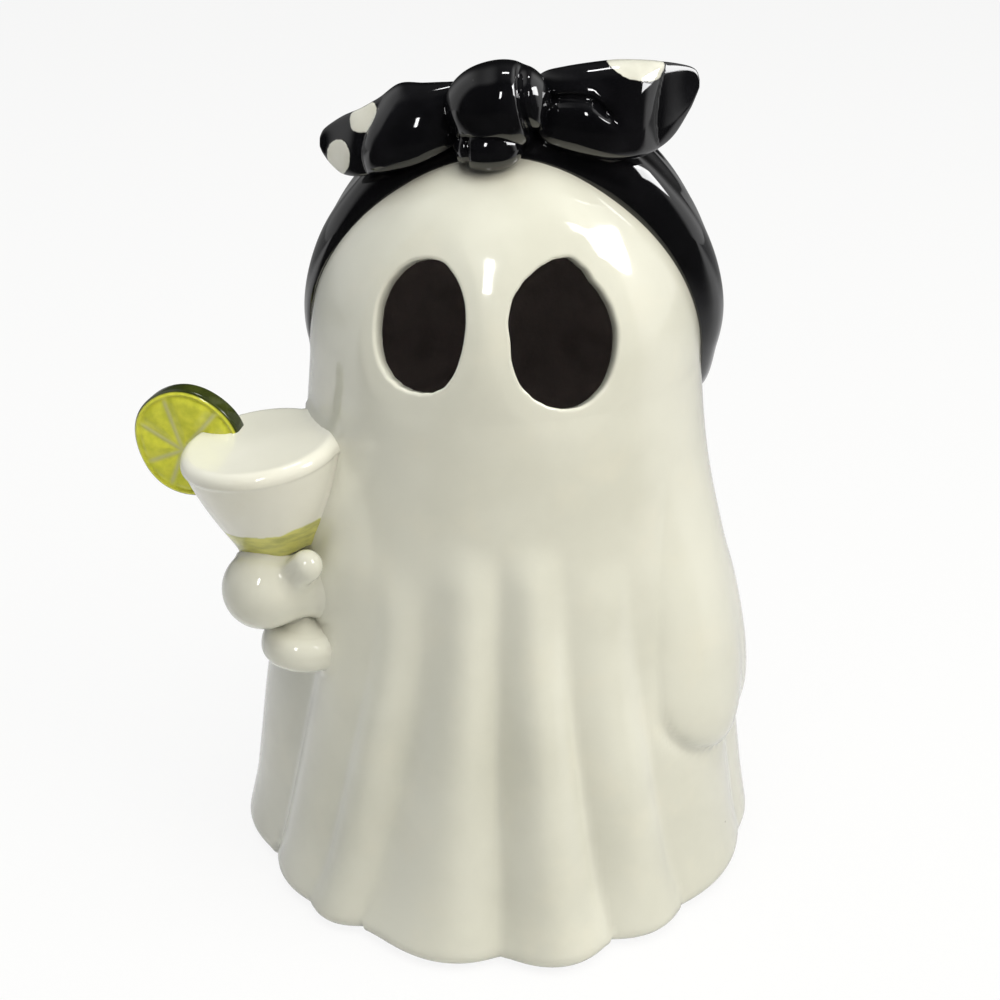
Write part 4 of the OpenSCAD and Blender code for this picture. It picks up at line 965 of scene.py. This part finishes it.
band_knots = np.concatenate([BAND_HALF, BAND_HALF[1:-1][::-1] * np.array([1, -1, 1, 1, 1])])
row = curve_at(band_knots, len(band_knots) * np.arange(BAND_STATIONS) / BAND_STATIONS, closed=True)
middle = np.stack([row[:, 1] * HEAD_R, row[:, 2] * HEAD_R, HEAD_Z + row[:, 0] * (BODY_H - HEAD_Z)], -1)
middle = on_head(middle, 0.0)
run = unit(np.roll(middle, -8, 0) - np.roll(middle, 8, 0))
across = unit(np.cross(unit(on_head(middle, BAND_T) - middle), run))
half_w = BAND_W * row[:, 3:4] / 2
thick = BAND_T * row[:, 4:] * (1 + BAND_RIGHT_SHARE * middle[:, :1] / HEAD_R)
u = np.cos(np.pi * np.arange(BAND_TOP_POINTS) / (BAND_TOP_POINTS - 1))[None, :]
u = np.sign(u) * np.abs(u) ** 0.85
from_crown = (np.arange(BAND_STATIONS) / BAND_STATIONS)[:, None]
from_crown = np.minimum(from_crown, 1 - from_crown) * 2
gathers = np.cos(u * 9.5 + 0.6 * np.sin(from_crown * 30)) * GATHER_DEPTH * smooth((0.42 - from_crown) / 0.3)
gathers = gathers + np.cos(u * 5.0 + 2.0 + 3 * from_crown) * CREASE_DEPTH
flatness = 3 + 3 * smooth((from_crown - 0.10) / 0.12)
lift = thick * np.sqrt(np.maximum(0, 1 - np.abs(u) ** flatness)) + gathers * (1 - np.abs(u) ** 6)
top_side = on_head(middle[:, None] + across[:, None] * (u * half_w)[..., None], lift)
v = np.linspace(-1, 1, BAND_UNDER_POINTS)[None, :]
under_side = on_head(middle[:, None] + across[:, None] * (v * (half_w - LUTE))[..., None], -LUTE)
band_points = np.concatenate([top_side, under_side], 1)
numbers = np.arange(band_points[..., 0].size).reshape(BAND_STATIONS, -1)
band_cells = bridge(numbers, np.roll(numbers, -1, 0))[:, ::-1]
band_points = band_points.reshape(-1, 3)

black_glaze = Finish("black_glaze_dots", 0.06, coat=0.6)
black_glaze.put("Coat Roughness", 0.02)
black = black_glaze.mottled(90.0, 4.0, 0.4, 0.8, (0.0035, 0.0035, 0.0045), (0.008, 0.008, 0.010))
dust = black_glaze.specks(150.0, 0.00018, 0.10)
black = black_glaze.mix(black_glaze.times(dust, 0.5), black, (0.12, 0.12, 0.12))
dot_white = black_glaze.mottled(130.0, 3.0, 0.35, 0.75, (0.80, 0.79, 0.72), (0.68, 0.67, 0.60))
dot_distance = black_glaze.attribute("dot_distance")
ragged = black_glaze.math("ADD", dot_distance, black_glaze.patches(520.0, 3.0, 0.2, 0.8, -0.00022, 0.00022))
black_glaze.put("Base Color", black_glaze.mix(black_glaze.ramp(ragged, 0.00016, -0.00016), black, dot_white))
black_glaze.relief(black_glaze.noise(55.0, 2.0), 0.0004)
black_glaze.relief(black_glaze.ramp(dot_distance, 0.0006, -0.0006), 0.00012)

dot_station = (DOT_PLACES[:, 0] * BAND_STATIONS).astype(int)
dot_column = np.argmin(np.abs(u[0][None, :] - DOT_PLACES[:, 1:]), 1)
band = make_piece("scarf_band_dotted", band_points, [band_cells], [black_glaze])
named_values(band, "dot_distance", polka_distance(band_points, top_side[dot_station, dot_column], DOT_R))
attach(band, "figure")
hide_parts("scarf_band")

# The bow is four lumps of clay in the same black glaze: a knot, the tucked end of the scarf
# under it, and a puffed loop on each side whose outer end flares into a thin flat tip.
BOW_Z = BODY_H + 0.009
BOW_FORWARD = 0.013
BOW_ROLL = np.radians(-13.0)
KNOT_CENTRE = np.array([-0.0008, -BOW_FORWARD - 0.0022, BOW_Z])
KNOT_HALF = np.array([0.0138, 0.0120, 0.0114])
KNOT_CREASES = [(0.0078, 0.0010, 0.0012, 0.0026), (-0.0016, 0.0010, 0.0034, 0.0005)]
TUCK_CENTRE = KNOT_CENTRE + np.array([-0.15, -0.40, -0.80]) * KNOT_HALF
TUCK_HALF = KNOT_HALF * np.array([0.64, 0.60, 0.52])
TUCK_CREASES = [(-0.0052, -0.0008, 0.0007, 0.0011)]
LUMP_ROWS = 110
LUMP_COLUMNS = 180


def resting(p, grow):
    """Points, with those that lie deeper than grow above the bare head lifted out to it."""
    q = on_head(p, grow)
    centre = np.array([0, 0, HEAD_Z])
    further = np.linalg.norm(q - centre, axis=-1) > np.linalg.norm(p - centre, axis=-1)
    return np.where(further[..., None], q, p)


def lump(centre, half, roll, grow, creases):
    """A rounded lump of clay: an ellipsoid with straightened sides, rolled about Y. Each
    crease is a groove down its front at a sideways place, with a bend, a width and a depth."""
    lean = np.pi * (np.arange(1, LUMP_ROWS + 1) / (LUMP_ROWS + 1))[:, None] - np.pi / 2
    turn = 2 * np.pi * np.arange(LUMP_COLUMNS)[None, :] / LUMP_COLUMNS
    ring = np.cos(lean) ** 0.94
    p = np.stack([ring * np.cos(turn), ring * np.sin(turn), np.sin(lean) + 0 * turn], -1) * half
    x, y, z = np.moveaxis(p, -1, 0)
    pressed = np.zeros_like(x)
    for place, bend, width, depth in creases:
        line = place + bend * (z / half[2]) ** 2
        pressed = pressed + depth * np.exp(-((x - line) / width) ** 2) * smooth(0.5 - y / half[1])
    x, y, z = np.moveaxis(p * (1 - pressed / np.linalg.norm(p, axis=-1))[..., None], -1, 0)
    c, s = np.cos(roll), np.sin(roll)
    return resting(centre + np.stack([x * c + z * s, y, z * c - x * s], -1), grow)


def black_piece(name, rings, replaced, dots=((0.0, 0.0, -1.0),), radii=(0.001,)):
    """A closed black-glazed piece from rings of points, with its dots. The one that stands in
    for none lies far away."""
    points = capped(rings)
    piece = closed_grid(name, points, rings.shape[1], black_glaze)
    named_values(piece, "dot_distance", polka_distance(points, np.array(dots), np.array(radii)))
    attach(piece, "figure")
    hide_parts(replaced)


black_piece("bow_knot_lump", lump(KNOT_CENTRE, KNOT_HALF, BOW_ROLL, BAND_T - LUTE, KNOT_CREASES), "bow_knot")
black_piece("bow_tuck_lump", lump(TUCK_CENTRE, TUCK_HALF, 0.0, -LUTE, TUCK_CREASES), "bow_tuck")

LOOP_H = 0.025
LOOP_T = 0.016
LOOP_TILT = 0.30
LOOP_CURL = 0.0045
LOOP_REAR = 0.0062
LOOP_ROWS = 150
LOOP_COLUMNS = 132
SHEET_T = 0.0022
SHEET_LEAST_T = 0.0006
PUFF_END_RAMP = 0.11
GROOVE_DEPTH = 0.0021
GROOVE_W = 0.12
CURL_START = 0.68
CURL_RAMP = 0.34
# The outline is the reach along the loop, then its top and bottom edge about the bow's middle
# as shares of its height, then its thickness as a share of the full one. The puff ends at a
# reach that is a first, second and third term times height to the powers 0, 1 and 2. The
# groove is given by its level, wave and fall. Dots are a reach, a height, a side, a radius.
LOOPS = {
    "right": {
        "length": 0.0495, "puff_end": (0.785, 0.01, 0.03),
        "groove": (0.28, 0.12, 2.0), "span": (0.20, 0.62),
        "outline": np.array([
            (0.15, 0.24, -0.20, 0.34), (0.22, 0.33, -0.40, 0.46), (0.31, 0.37, -0.48, 0.74),
            (0.44, 0.41, -0.55, 0.98), (0.57, 0.435, -0.60, 0.98), (0.70, 0.43, -0.58, 0.86),
            (0.80, 0.42, -0.48, 0.72), (0.88, 0.41, -0.32, 0.60), (0.95, 0.385, -0.06, 0.46),
            (0.985, 0.34, 0.10, 0.30), (1.0, 0.26, 0.18, 0.10)]),
        "dots": ((0.67, 1.0, "front", 0.0074), (0.40, 0.15, "rear", 0.0062),
                 (0.78, -0.25, "rear", 0.0062), (0.55, -0.85, "rear", 0.0055)),
    },
    "left": {
        "length": -0.0475, "puff_end": (0.735, -0.04, -0.07),
        "groove": (0.05, 0.0, 0.0), "span": (0.14, 0.32),
        "outline": np.array([
            (0.15, 0.18, -0.28, 0.34), (0.22, 0.21, -0.48, 0.46), (0.31, 0.20, -0.58, 0.74),
            (0.42, 0.185, -0.68, 0.98), (0.55, 0.17, -0.76, 0.98), (0.66, 0.02, -0.82, 0.84),
            (0.76, -0.10, -0.86, 0.70), (0.86, -0.18, -0.84, 0.60), (0.93, -0.26, -0.74, 0.46),
            (0.98, -0.34, -0.62, 0.30), (1.0, -0.42, -0.54, 0.10)]),
        "dots": ((0.745, 0.80, "front", 0.0043), (0.885, -0.38, "front", 0.0044),
                 (0.42, 0.25, "rear", 0.0062), (0.76, 0.0, "rear", 0.0060)),
    },
}


def bow_loop(loop, s, a):
    """A loop of the bow as rings from the knot to the tip, with s and a the reach along it and
    the angle round it. Its front is a puff with a round edge, which stands on a thin flat
    flare and has a groove pressed in it."""
    row = loop["outline"]
    row = curve_at(row, np.linspace(0, len(row) - 1, LOOP_ROWS))
    top, low, thick = row[:, 1:2] * LOOP_H, row[:, 2:3] * LOOP_H, row[:, 3:] * LOOP_T / 2
    v = np.cos(a) + 0 * s
    bulge = np.abs(np.sin(a)) ** 0.9
    sheet = np.minimum(thick, SHEET_T * smooth((1.02 - s) / 0.25) + SHEET_LEAST_T)
    even, lean, bow = loop["puff_end"]
    fullness = clamp01((even + lean * v + bow * v * v - s) / PUFF_END_RAMP)
    front = sheet + (thick * 1.04 - sheet) * np.sqrt(1 - (1 - fullness) ** 2)
    level, wave, fall = loop["groove"]
    line = level + wave * np.sin((s - 0.2) * 9) - fall * np.maximum(s - 0.46, 0)
    start, stop = loop["span"]
    groove = GROOVE_DEPTH * smooth((s - start) / 0.05) * smooth((stop - s) / 0.10)
    groove = groove * np.exp(-((v - line) / GROOVE_W) ** 2) * (np.abs(np.sin(a)) > 0.2)
    y = np.where(np.sin(a) > 0, -front * bulge + groove, np.minimum(thick, LOOP_REAR) * bulge)
    rise = (top + low) / 2 + (top - low) / 2 * v
    rise = np.where(rise < 0, rise * 0.88, rise)
    curl = LOOP_CURL * smooth((s - CURL_START) / CURL_RAMP)
    y = y + BAND_T * s * s - BOW_FORWARD + LOOP_TILT * rise + curl
    z = BOW_Z + rise * 0.97 - curl * 0.45
    return resting(np.stack([s * loop["length"] + 0 * a, y, z], -1), BAND_T - LUTE)


for side_name, loop in LOOPS.items():
    outline = loop["outline"]
    s = curve_at(outline, np.linspace(0, len(outline) - 1, LOOP_ROWS))[:, :1]
    a = 2 * np.pi * np.arange(LOOP_COLUMNS)[None, :] / LOOP_COLUMNS
    rings = bow_loop(loop, s, a)
    dots = []
    for reach, v, face, _ in loop["dots"]:
        angle = np.arccos(v) if face == "front" else 2 * np.pi - np.arccos(v)
        dots.append(rings[np.argmin(np.abs(s - reach)), np.argmin(np.abs(a - angle))])
    radii = [dot[3] for dot in loop["dots"]]
    black_piece("bow_loop_" + side_name + "_puff", rings, "bow_loop_" + side_name, dots, radii)

# The light unit is bought in: a round white housing with its dome, lamp, board, three cells,
# switch and door. Its moulded plastics are matt with a fine spark-eroded grain.


def moulded_plastic(name, light, dark, roughness, transmission=0.0):
    """Moulded plastic: slightly uneven colour, a fine grain, and handling marks in its gloss."""
    finish = Finish(name, roughness)
    finish.put("Transmission Weight", transmission)
    finish.put("Base Color", finish.mottled(45.0, 3.0, 0.35, 0.75, light, dark))
    finish.put("Roughness", finish.patches(210.0, 4.0, 0.3, 0.8, roughness - 0.08, roughness + 0.1))
    finish.relief(finish.noise(1800.0, 2.0), 0.000025)
    return finish


def ribs(finish, spacing):
    """Ribs across Y: the sine of the way along it."""
    return finish.math("SINE", finish.times(finish.axis("Y"), 2 * np.pi / spacing))


dress("light_housing", moulded_plastic("white_housing_plastic", (0.72, 0.72, 0.68), (0.62, 0.62, 0.57), 0.42))
dress("light_dome", moulded_plastic("frosted_dome", (0.80, 0.79, 0.73), (0.74, 0.73, 0.66), 0.5, 0.45))
dress("led", moulded_plastic("lamp_lens", (0.86, 0.80, 0.60), (0.80, 0.72, 0.48), 0.14, 0.55))
dress("switch_body", moulded_plastic("black_plastic", (0.014, 0.014, 0.015), (0.026, 0.026, 0.027), 0.38))
knob = moulded_plastic("black_knob_plastic", (0.016, 0.016, 0.017), (0.030, 0.030, 0.031), 0.34)
knob.relief(ribs(knob, 0.0009), 0.0002)
dress("switch_knob", knob)

# The door has a ribbed grip near its free end
door = moulded_plastic("white_door_plastic", (0.74, 0.74, 0.70), (0.64, 0.64, 0.59), 0.40)
grip = door.times(door.ramp(door.axis("Y"), 0.0132, 0.0140), door.ramp(door.axis("Y"), 0.0228, 0.0220))
grip = door.times(grip, door.ramp(door.math("ABSOLUTE", door.axis("X")), 0.0090, 0.0084))
door.relief(door.times(ribs(door, 0.0016), grip), 0.0003)
dress("battery_door", door)

# The foam gasket is closed-cell and slightly crushed, so its skin is pitted. Its colour is darker in the
# middle of each pit: painted shade in the pits.
foam = Finish("grey_foam", 0.95, specular=0.2)
pits_and_painted_shade = foam.add("TexVoronoi", {"Vector": foam.vector, "Scale": 1300.0}, "Distance")
foam.put("Base Color", foam.mix(pits_and_painted_shade, (0.035, 0.035, 0.037), (0.075, 0.075, 0.078)))
foam.relief(pits_and_painted_shade, 0.0002)
dress("base_gasket", foam)

# The resistor is a black chip with tinned ends
chip = Finish("resistor_chip", 0.45)
ends = chip.ramp(chip.math("ABSOLUTE", chip.axis("X")), 0.00108, 0.00114)
chip_black = chip.mottled(2500.0, 2.0, 0.3, 0.7, (0.010, 0.010, 0.012), (0.022, 0.022, 0.024))
chip.put("Base Color", chip.mix(ends, chip_black, (0.60, 0.60, 0.62)))
chip.put("Metallic", ends)
dress("resistor", chip)

# The board is glass-fibre under green lacquer, with copper tracks in rings under it
board = Finish("green_board", 0.28, coat=0.3)
rings = {"Vector": board.vector, "Scale": 55.0, "Distortion": 1.5, "Detail Scale": 30.0}
tracks = board.ramp(board.add("TexWave", rings, "Fac", wave_type="RINGS", rings_direction="Z"), 0.62, 0.70)
lacquer = board.mottled(700.0, 2.0, 0.3, 0.7, (0.012, 0.12, 0.040), (0.018, 0.15, 0.055))
board.put("Base Color", board.mix(board.times(tracks, 0.6), lacquer, (0.04, 0.26, 0.09)))
board.relief(tracks, 0.00004)
dress("circuit_board", board)

# Screws, springs and contact plates are nickel-plated steel, a little tarnished
nickel = Finish("plated_steel", 0.28, metallic=1.0)
nickel.put("Base Color", nickel.mottled(160.0, 4.0, 0.4, 0.75, (0.62, 0.60, 0.56), (0.48, 0.46, 0.42)))
nickel.relief(nickel.noise(1500.0, 2.0), 0.00001)
for node in ("board_screws", "contact_springs", "bridge_plates", "terminal_plates"):
    dress(node, nickel)

# The cells are plain AAA: a steel can in a printed shrink sleeve with a band at each end
jacket = Finish("cell_jacket", 0.24, coat=0.3)
along = jacket.math("ABSOLUTE", jacket.axis("Y"))
end_metal = jacket.ramp(along, 0.02165, 0.02175)
band_mark = jacket.times(jacket.ramp(along, 0.0150, 0.0151), jacket.ramp(along, 0.0185, 0.0184))
drawn = jacket.place(stretch=(1, 6, 1))
foil = jacket.mottled(300.0, 3.0, 0.3, 0.75, (0.030, 0.075, 0.16), (0.045, 0.10, 0.20), drawn)
printed = jacket.mix(band_mark, foil, (0.55, 0.55, 0.52))
jacket.put("Base Color", jacket.mix(end_metal, printed, (0.58, 0.57, 0.54)))
jacket.put("Metallic", jacket.math("MAXIMUM", end_metal, 0.35))
dress("battery_cells", jacket)

# Two red leads and a black one, in soft glossy insulation
insulation = Finish("lead_insulation", 0.35)
scuffed = insulation.patches(500.0, 3.0, 0.3, 0.8)
red = insulation.mix(scuffed, (0.42, 0.018, 0.014), (0.30, 0.015, 0.012))
black_side = insulation.ramp(insulation.axis("X"), -0.0008, -0.0012)
insulation.put("Base Color", insulation.mix(black_side, red, (0.012, 0.012, 0.013)))
insulation.relief(scuffed, 0.00003)
dress("lead_wires", insulation)

# The studio: a plain pale table and backdrop, one large soft window on the right, a narrow
# strip light in front and soft light from all round.
TABLE_HALF = 3.0
TABLE_Z = -0.0002
table_mesh = bpy.data.meshes.new("studio_table")
corners = [(x * TABLE_HALF, y * TABLE_HALF, TABLE_Z) for x, y in ((-1, -1), (1, -1), (1, 1), (-1, 1))]
table_mesh.from_pydata(corners, [], [(0, 1, 2, 3)])
table = bpy.data.objects.new("studio_table", table_mesh)
bpy.context.scene.collection.objects.link(table)
# In reflections the table ends in front of the figure, where the room is dark
pale = Finish("pale_table", 0.9, specular=0.1)
pale.put("Base Color", (0.86, 0.86, 0.855))
near_edge = pale.ramp(pale.axis("Y"), -0.16, 0.02, 0.03, 0.75)
reach = pale.times(near_edge, pale.ramp(pale.axis("Y"), 0.15, 0.6, 1.0, 0.3))
strength = pale.math("MAXIMUM", pale.times(pale.reflected(), reach), pale.seen())
glow = pale.add("Emission", {"Strength": strength}, 0)
share = pale.math("MAXIMUM", pale.times(pale.seen(), 0.88), pale.reflected())
matt = pale.tree.nodes["Principled BSDF"].outputs[0]
lit = pale.add("MixShader", {0: share, 1: matt, 2: glow}, 0)
pale.feed(pale.tree.nodes["Material Output"].inputs["Surface"], lit)
table_mesh.materials.append(pale.material)

world = bpy.data.worlds.new("studio")
bpy.context.scene.world = world
world.use_nodes = True
sky = Nodes(world.node_tree)
direction = sky.add("TexCoord", {}, "Generated")
side_wall = sky.ramp(sky.axis("Y", direction), -0.26, 0.06, 0.03, 0.95)
far_wall = sky.ramp(sky.axis("Y", direction), 0.6, 0.95, 1.0, 0.15)
sideways = sky.ramp(sky.math("ABSOLUTE", sky.axis("X", direction)), 0.2, 0.6, 0.10, 1.0)
left_wall = sky.ramp(sky.axis("X", direction), -0.3, 0.2, 0.6, 1.0)
walls = sky.times(sky.times(side_wall, sky.times(far_wall, sideways)), left_wall)
room = sky.add("Background", {"Strength": walls}, 0)
ambient = sky.add("Background", {"Color": (0.97, 0.98, 1.0), "Strength": 0.06}, 0)
white = sky.add("Background", {"Color": (1.0, 1.0, 1.0)}, 0)
unseen = sky.add("MixShader", {0: sky.reflected(), 1: ambient, 2: room}, 0)
shown = sky.add("MixShader", {0: sky.seen(), 1: unseen, 2: white}, 0)
sky.feed(sky.tree.nodes["World Output"].inputs["Surface"], shown)

AIM = np.array([0.0, 0.0, 0.15])
WINDOW_ROLL = -31.0
DAYLIGHT = (1.0, 1.0, 1.0)


def soft_box(name, azimuth, height, distance, width, tall, power, colour, roll=0.0, for_gloss=False):
    """A rectangular lamp that faces the figure from a direction and height in degrees. The
    window, the strip and the ceiling light show in the glaze, the others only light it."""
    lamp = bpy.data.lights.new(name, "AREA")
    lamp.shape = "RECTANGLE"
    lamp.size, lamp.size_y = width, tall
    lamp.energy = power
    lamp.color = colour
    holder = bpy.data.objects.new(name, lamp)
    e = np.radians(height)
    holder.location = (AIM + around(azimuth, np.cos(e), np.sin(e)) * distance).tolist()
    facing = Quaternion((0, 0, 1), np.radians(azimuth)) @ Quaternion((1, 0, 0), np.pi / 2 - e)
    holder.rotation_mode = "QUATERNION"
    holder.rotation_quaternion = facing @ Quaternion((0, 0, 1), np.radians(roll))
    holder.visible_glossy = for_gloss
    holder.visible_diffuse = not for_gloss
    bpy.context.scene.collection.objects.link(holder)


soft_box("window_right", 86.5, 36.4, 1.1, 0.62, 0.37, 8.6, DAYLIGHT, WINDOW_ROLL, for_gloss=True)
soft_box("window_corner", 75.4, 49.0, 1.1, 0.28, 0.13, 1.36, DAYLIGHT, WINDOW_ROLL, for_gloss=True)
soft_box("strip_front", -9.5, 43.0, 1.2, 0.10, 0.34, 2.3, DAYLIGHT, for_gloss=True)
soft_box("ceiling_light", 180.0, 74.0, 1.2, 0.26, 0.09, 1.3, DAYLIGHT, for_gloss=True)
soft_box("key_right", 68.0, 35.0, 1.3, 1.0, 0.9, 7.8, (1.0, 0.97, 0.86))
soft_box("fill_front", 15.0, 55.0, 1.4, 1.2, 1.0, 5.9, (1.0, 0.93, 0.82))
soft_box("fill_left", -95.0, 20.0, 1.4, 1.0, 0.8, 0.8, (0.5, 0.6, 1.0))
soft_box("fill_top", 0.0, 86.0, 1.4, 1.2, 1.2, 16.4, (0.97, 1.0, 0.94))

# The camera stands at the photograph's place, a little to the right and above
camera_data = bpy.data.cameras.new("camera")
camera_data.sensor_width = 36.0
camera_data.lens = 70.9
camera_data.shift_x = -0.0055
camera = bpy.data.objects.new("camera", camera_data)
camera.location = (0.0349, -0.4988, 0.350)
camera.rotation_euler = (np.radians(63.7), 0.0, np.radians(4.0))
bpy.context.scene.collection.objects.link(camera)
bpy.context.scene.camera = camera
bpy.context.scene.view_settings.view_transform = "Standard"
